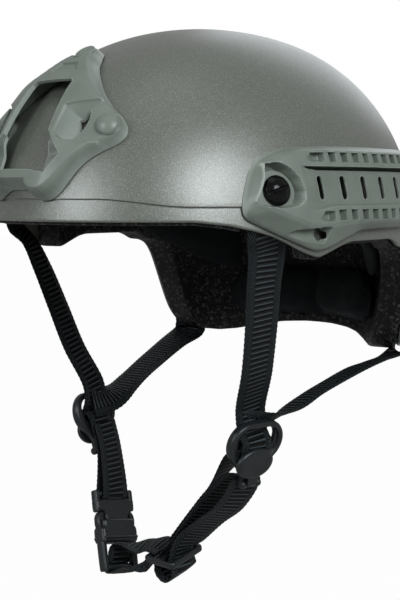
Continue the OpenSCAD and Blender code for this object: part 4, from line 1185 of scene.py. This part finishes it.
def divider_parts():
    outline = hull_loop([(-2.5, -6, 11.7), (-2.5, 6, 11.7), (11, 0, 7)], 120)
    window = box_loop(-10.7, 3, -12.2, 12.2, 5.5)
    def rim(d, rise):
        swell = rise * np.sqrt(np.clip(1 - ((d - RIM_IN) / RIM_R) ** 2, 0, 1))
        return np.where(d < RIM_W, PLATE_HALF + swell, PLATE_HALF)
    def front(p):
        d = distance(p, outline)
        inner = -distance(p, window)
        return rim(d, 1.7) - rounding(inner, 0.5) * (inner < 0.5) - 0.2 * smooth(0.3, 0, d)
    def back(p):
        return -rim(distance(p, outline), 1.2)
    parts = [moulded(outline, [window], 0.32, front, back, lifted)]
    for s in (-1, 1):
        near, far = sorted((s * KNUCKLE, s * HINGE_END))
        parts.append(rod((HINGE_X, s * KNUCKLE, HINGE_Z), (HINGE_X, s * HINGE_END, HINGE_Z),
                         2.1, 40, 0.35))
        parts.append(moulded(box_loop(13.4, HINGE_X, near, far, 0.3), [], 0.5,
                             flat(HINGE_Z), flat(-0.6), lifted))
    return join(parts)


def cap_parts():
    # A dished top, a rounded edge and a flat foot at 3.15
    profile = [(0, 5.8), (3.0, 5.82), (5.2, 5.92), (6.6, 6.04), (7.3, 6.0), (7.8, 5.75),
               (8.2, 5.3), (8.45, 4.7), (8.5, 4.1), (8.4, 3.3), (8.1, 3.15), (0, 3.15)]
    cap = solid_of_turn(profile, 96, lambda v: v + [7.6, -1.2, 0], 1.41)
    pin, barrel = (rod((HINGE_X, -y, HINGE_Z), (HINGE_X, y, HINGE_Z), r, n, bevel)
                   for y, r, n, bevel in ((6.2, 0.9, 24, 0.2), (3.3, 1.9, 40, 0.3)))
    tab = moulded(box_loop(15.5, HINGE_X, -3.3, 3.3, 0.3), [], 0.5, flat(4.3), flat(3.15),
                  lifted)
    return join([cap, pin, barrel, tab])


def dividers():
    for name, part in (("divider", divider_parts()), ("divider_cap", cap_parts())):
        placed = np.array([in_divider(v) for v in part[0]])
        piece(name + "_left_frame", placed, part[1], [name + "_left"], corner=45.0)
        piece(name + "_right_frame", flipped(placed), part[1], [name + "_right"], corner=45.0)


def slide():
    outline = box_loop(-11, 11, -13, 13, 2.2, 8)
    windows = [box_loop(-8, -1.2, -10.8, 10.8, 0.8), box_loop(1.6, 8, -10.8, 10.8, 0.8)]
    face = eased(outline, windows, 2.0, 1.2)
    def place(p, h):
        return SLIDE_AT + np.array([spun(0, q, SLIDE_TILT) for q in lifted(p, h)])
    piece("slide_frame", *moulded(outline, windows, 0.3, face, lambda p: -face(p), place),
          ["strap_slide"])


def buckle():
    """Plug, springs and socket, of plates that lie in a plane of width and level."""
    def place(p, h):
        return np.array([in_buckle(v) for v in np.stack([h, p[:, 0], p[:, 1]], 1)])
    def plate(loop, thick, r):
        face = eased(loop, [], thick / 2, r)
        return moulded(loop, [], 0.32, face, lambda p: -face(p), place)
    def pair(outline, corner, thick, r):
        return [plate(rounded([(s * y, z) for y, z in outline][::s], 2, corner), thick, r)
                for s in (-1, 1)]
    def bar(z, w):
        return rod(in_buckle([0, -w / 2, z]), in_buckle([0, w / 2, z]), BAR_R)
    ears = [plate(box_loop(s * 13.5 - 1.5, s * 13.5 + 1.5, -10.5, 2.2, 1.2), 4.4, 0.7)
            for s in (-1, 1)]
    base = plate(rounded([(-14.6, -3.3), (14.6, -3.3), (14.6, -9), (9, -11), (8.4, -19),
                          (-8.4, -19), (-9, -11), (-14.6, -9)], 1, 0.15), 5.6, 0.8)
    tongue = plate(box_loop(-3.5, 3.5, -27, -8, 0.8), 3, 0.4)
    piece("buckle_plug", *join([bar(0, 29), base, tongue] + ears), ["buckle_male"])
    prongs = pair([(9.2, -10.4), (12.6, -10.4), (14.5, -13), (14.9, -17), (13.6, -21.5),
                   (11, -25), (9.2, -25), (11.6, -20.5), (12.2, -16.5), (11.4, -13.6)],
                  0.15, 4, 0.5)
    piece("buckle_springs", *join(prongs), ["buckle_prongs"])
    sleeve = plate(rounded([(-11.9, -14.6), (11.9, -14.6), (12.3, -18.5), (13.9, -20.4),
                            (13.9, -27.2), (12.4, -28.6), (-12.4, -28.6), (-13.9, -27.2),
                            (-13.9, -20.4), (-12.3, -18.5)], 2, 0.14), 9, 1.8)
    arms = pair([(10.4, -26), (13.9, -26), (13.4, -44.0), (10.4, -44.0)], 0.12, 5.6, 0.9)
    collar = plate(box_loop(-13.4, 13.4, -26.2, -24.6, 0.6), 10, 0.5)
    piece("buckle_socket", *join([sleeve, collar, bar(LOWER_BAR, 26)] + arms),
          ["buckle_female"])


# ---- Padded pieces


SKIN_SINK = 0.7  # how far the skin starts under the solid's, mm
PUFF_FRAMES = 20


def puffed(node, name, voxel, pressure, cap, fill):
    """A cushion from its CAD solid: remeshed, swollen by a cloth simulation, with no
    point moved further than cap millimetres, and smoothed once."""
    scene = bpy.context.scene
    ob = put(name, CAD[node].data.copy())
    ob.data.materials.clear()
    remesh = ob.modifiers.new("skin", "REMESH")
    remesh.mode, remesh.voxel_size = "VOXEL", voxel * MM
    settle(ob)
    rest = coords(ob.data)
    normal = np.empty(len(rest) * 3, np.float32)
    ob.data.vertices.foreach_get("normal", normal)
    rest -= normal.reshape(-1, 3) * SKIN_SINK * MM
    set_coords(ob.data, rest)
    cloth = ob.modifiers.new("Cloth", "CLOTH")
    cloth.settings.quality = 4
    cloth.settings.mass = 0.15
    cloth.settings.tension_stiffness = cloth.settings.compression_stiffness = 12
    cloth.settings.bending_stiffness = 0.6
    cloth.settings.use_pressure = True
    cloth.settings.uniform_pressure_force = pressure
    cloth.settings.effector_weights.gravity = 0
    cloth.collision_settings.use_collision = False
    scene.frame_start, scene.frame_end = 1, PUFF_FRAMES
    for f in range(1, PUFF_FRAMES + 1):
        scene.frame_set(f)
    found = ob.evaluated_get(bpy.context.evaluated_depsgraph_get())
    blown = coords(found.data)
    ob.modifiers.remove(cloth)
    scene.frame_set(1)
    move = blown - rest
    far = np.linalg.norm(move, axis=1, keepdims=True)
    rest = rest + move * np.minimum(1, cap * MM / np.maximum(far, 1e-9))
    set_coords(ob.data, rest)
    ob.modifiers.new("ease", "SMOOTH").iterations = 2
    ob.modifiers.new("fine", "SUBSURF").levels = 1
    settle(ob)
    ob.data.polygons.foreach_set("use_smooth", np.ones(len(ob.data.polygons), bool))
    dress(ob, [node])


def settle(ob):
    """Applies an object's modifiers to its mesh."""
    bpy.context.view_layer.update()
    found = ob.evaluated_get(bpy.context.evaluated_depsgraph_get())
    mesh = bpy.data.meshes.new_from_object(found)
    ob.modifiers.clear()
    ob.data = mesh


def coords(mesh):
    co = np.empty(len(mesh.vertices) * 3, np.float32)
    mesh.vertices.foreach_get("co", co)
    return co.reshape(-1, 3).astype(float)


def set_coords(mesh, points):
    mesh.vertices.foreach_set("co", points.astype(np.float32).ravel())


PRESSURE, MOST_MM, FILL = 4, 1.5, 0.7


def pads():
    # Each pad with the size of the cells of its skin, mm
    for node, voxel in (("brow_pad", 2.6), ("crown_pad", 2.6), ("side_pad_left", 2.6),
                        ("side_pad_right", 2.6), ("nape_pad", 2.0)):
        puffed(node, node + "_cushion", voxel, PRESSURE, MOST_MM, FILL)


def floor():
    low, far = cad_box[0].z, 4
    mesh = bpy.data.meshes.new("floor")
    mesh.from_pydata([(x, y, low) for x, y in ((-far, -far), (far, -far), (far, far),
                                               (-far, far))], [], [(0, 1, 2, 3)])
    mesh.materials.append(floor_card())
    ob = put("floor", mesh)


shell()
liner()
rails()
shroud()
screws()
harness()
dividers()
slide()
buckle()
pads()
floor()
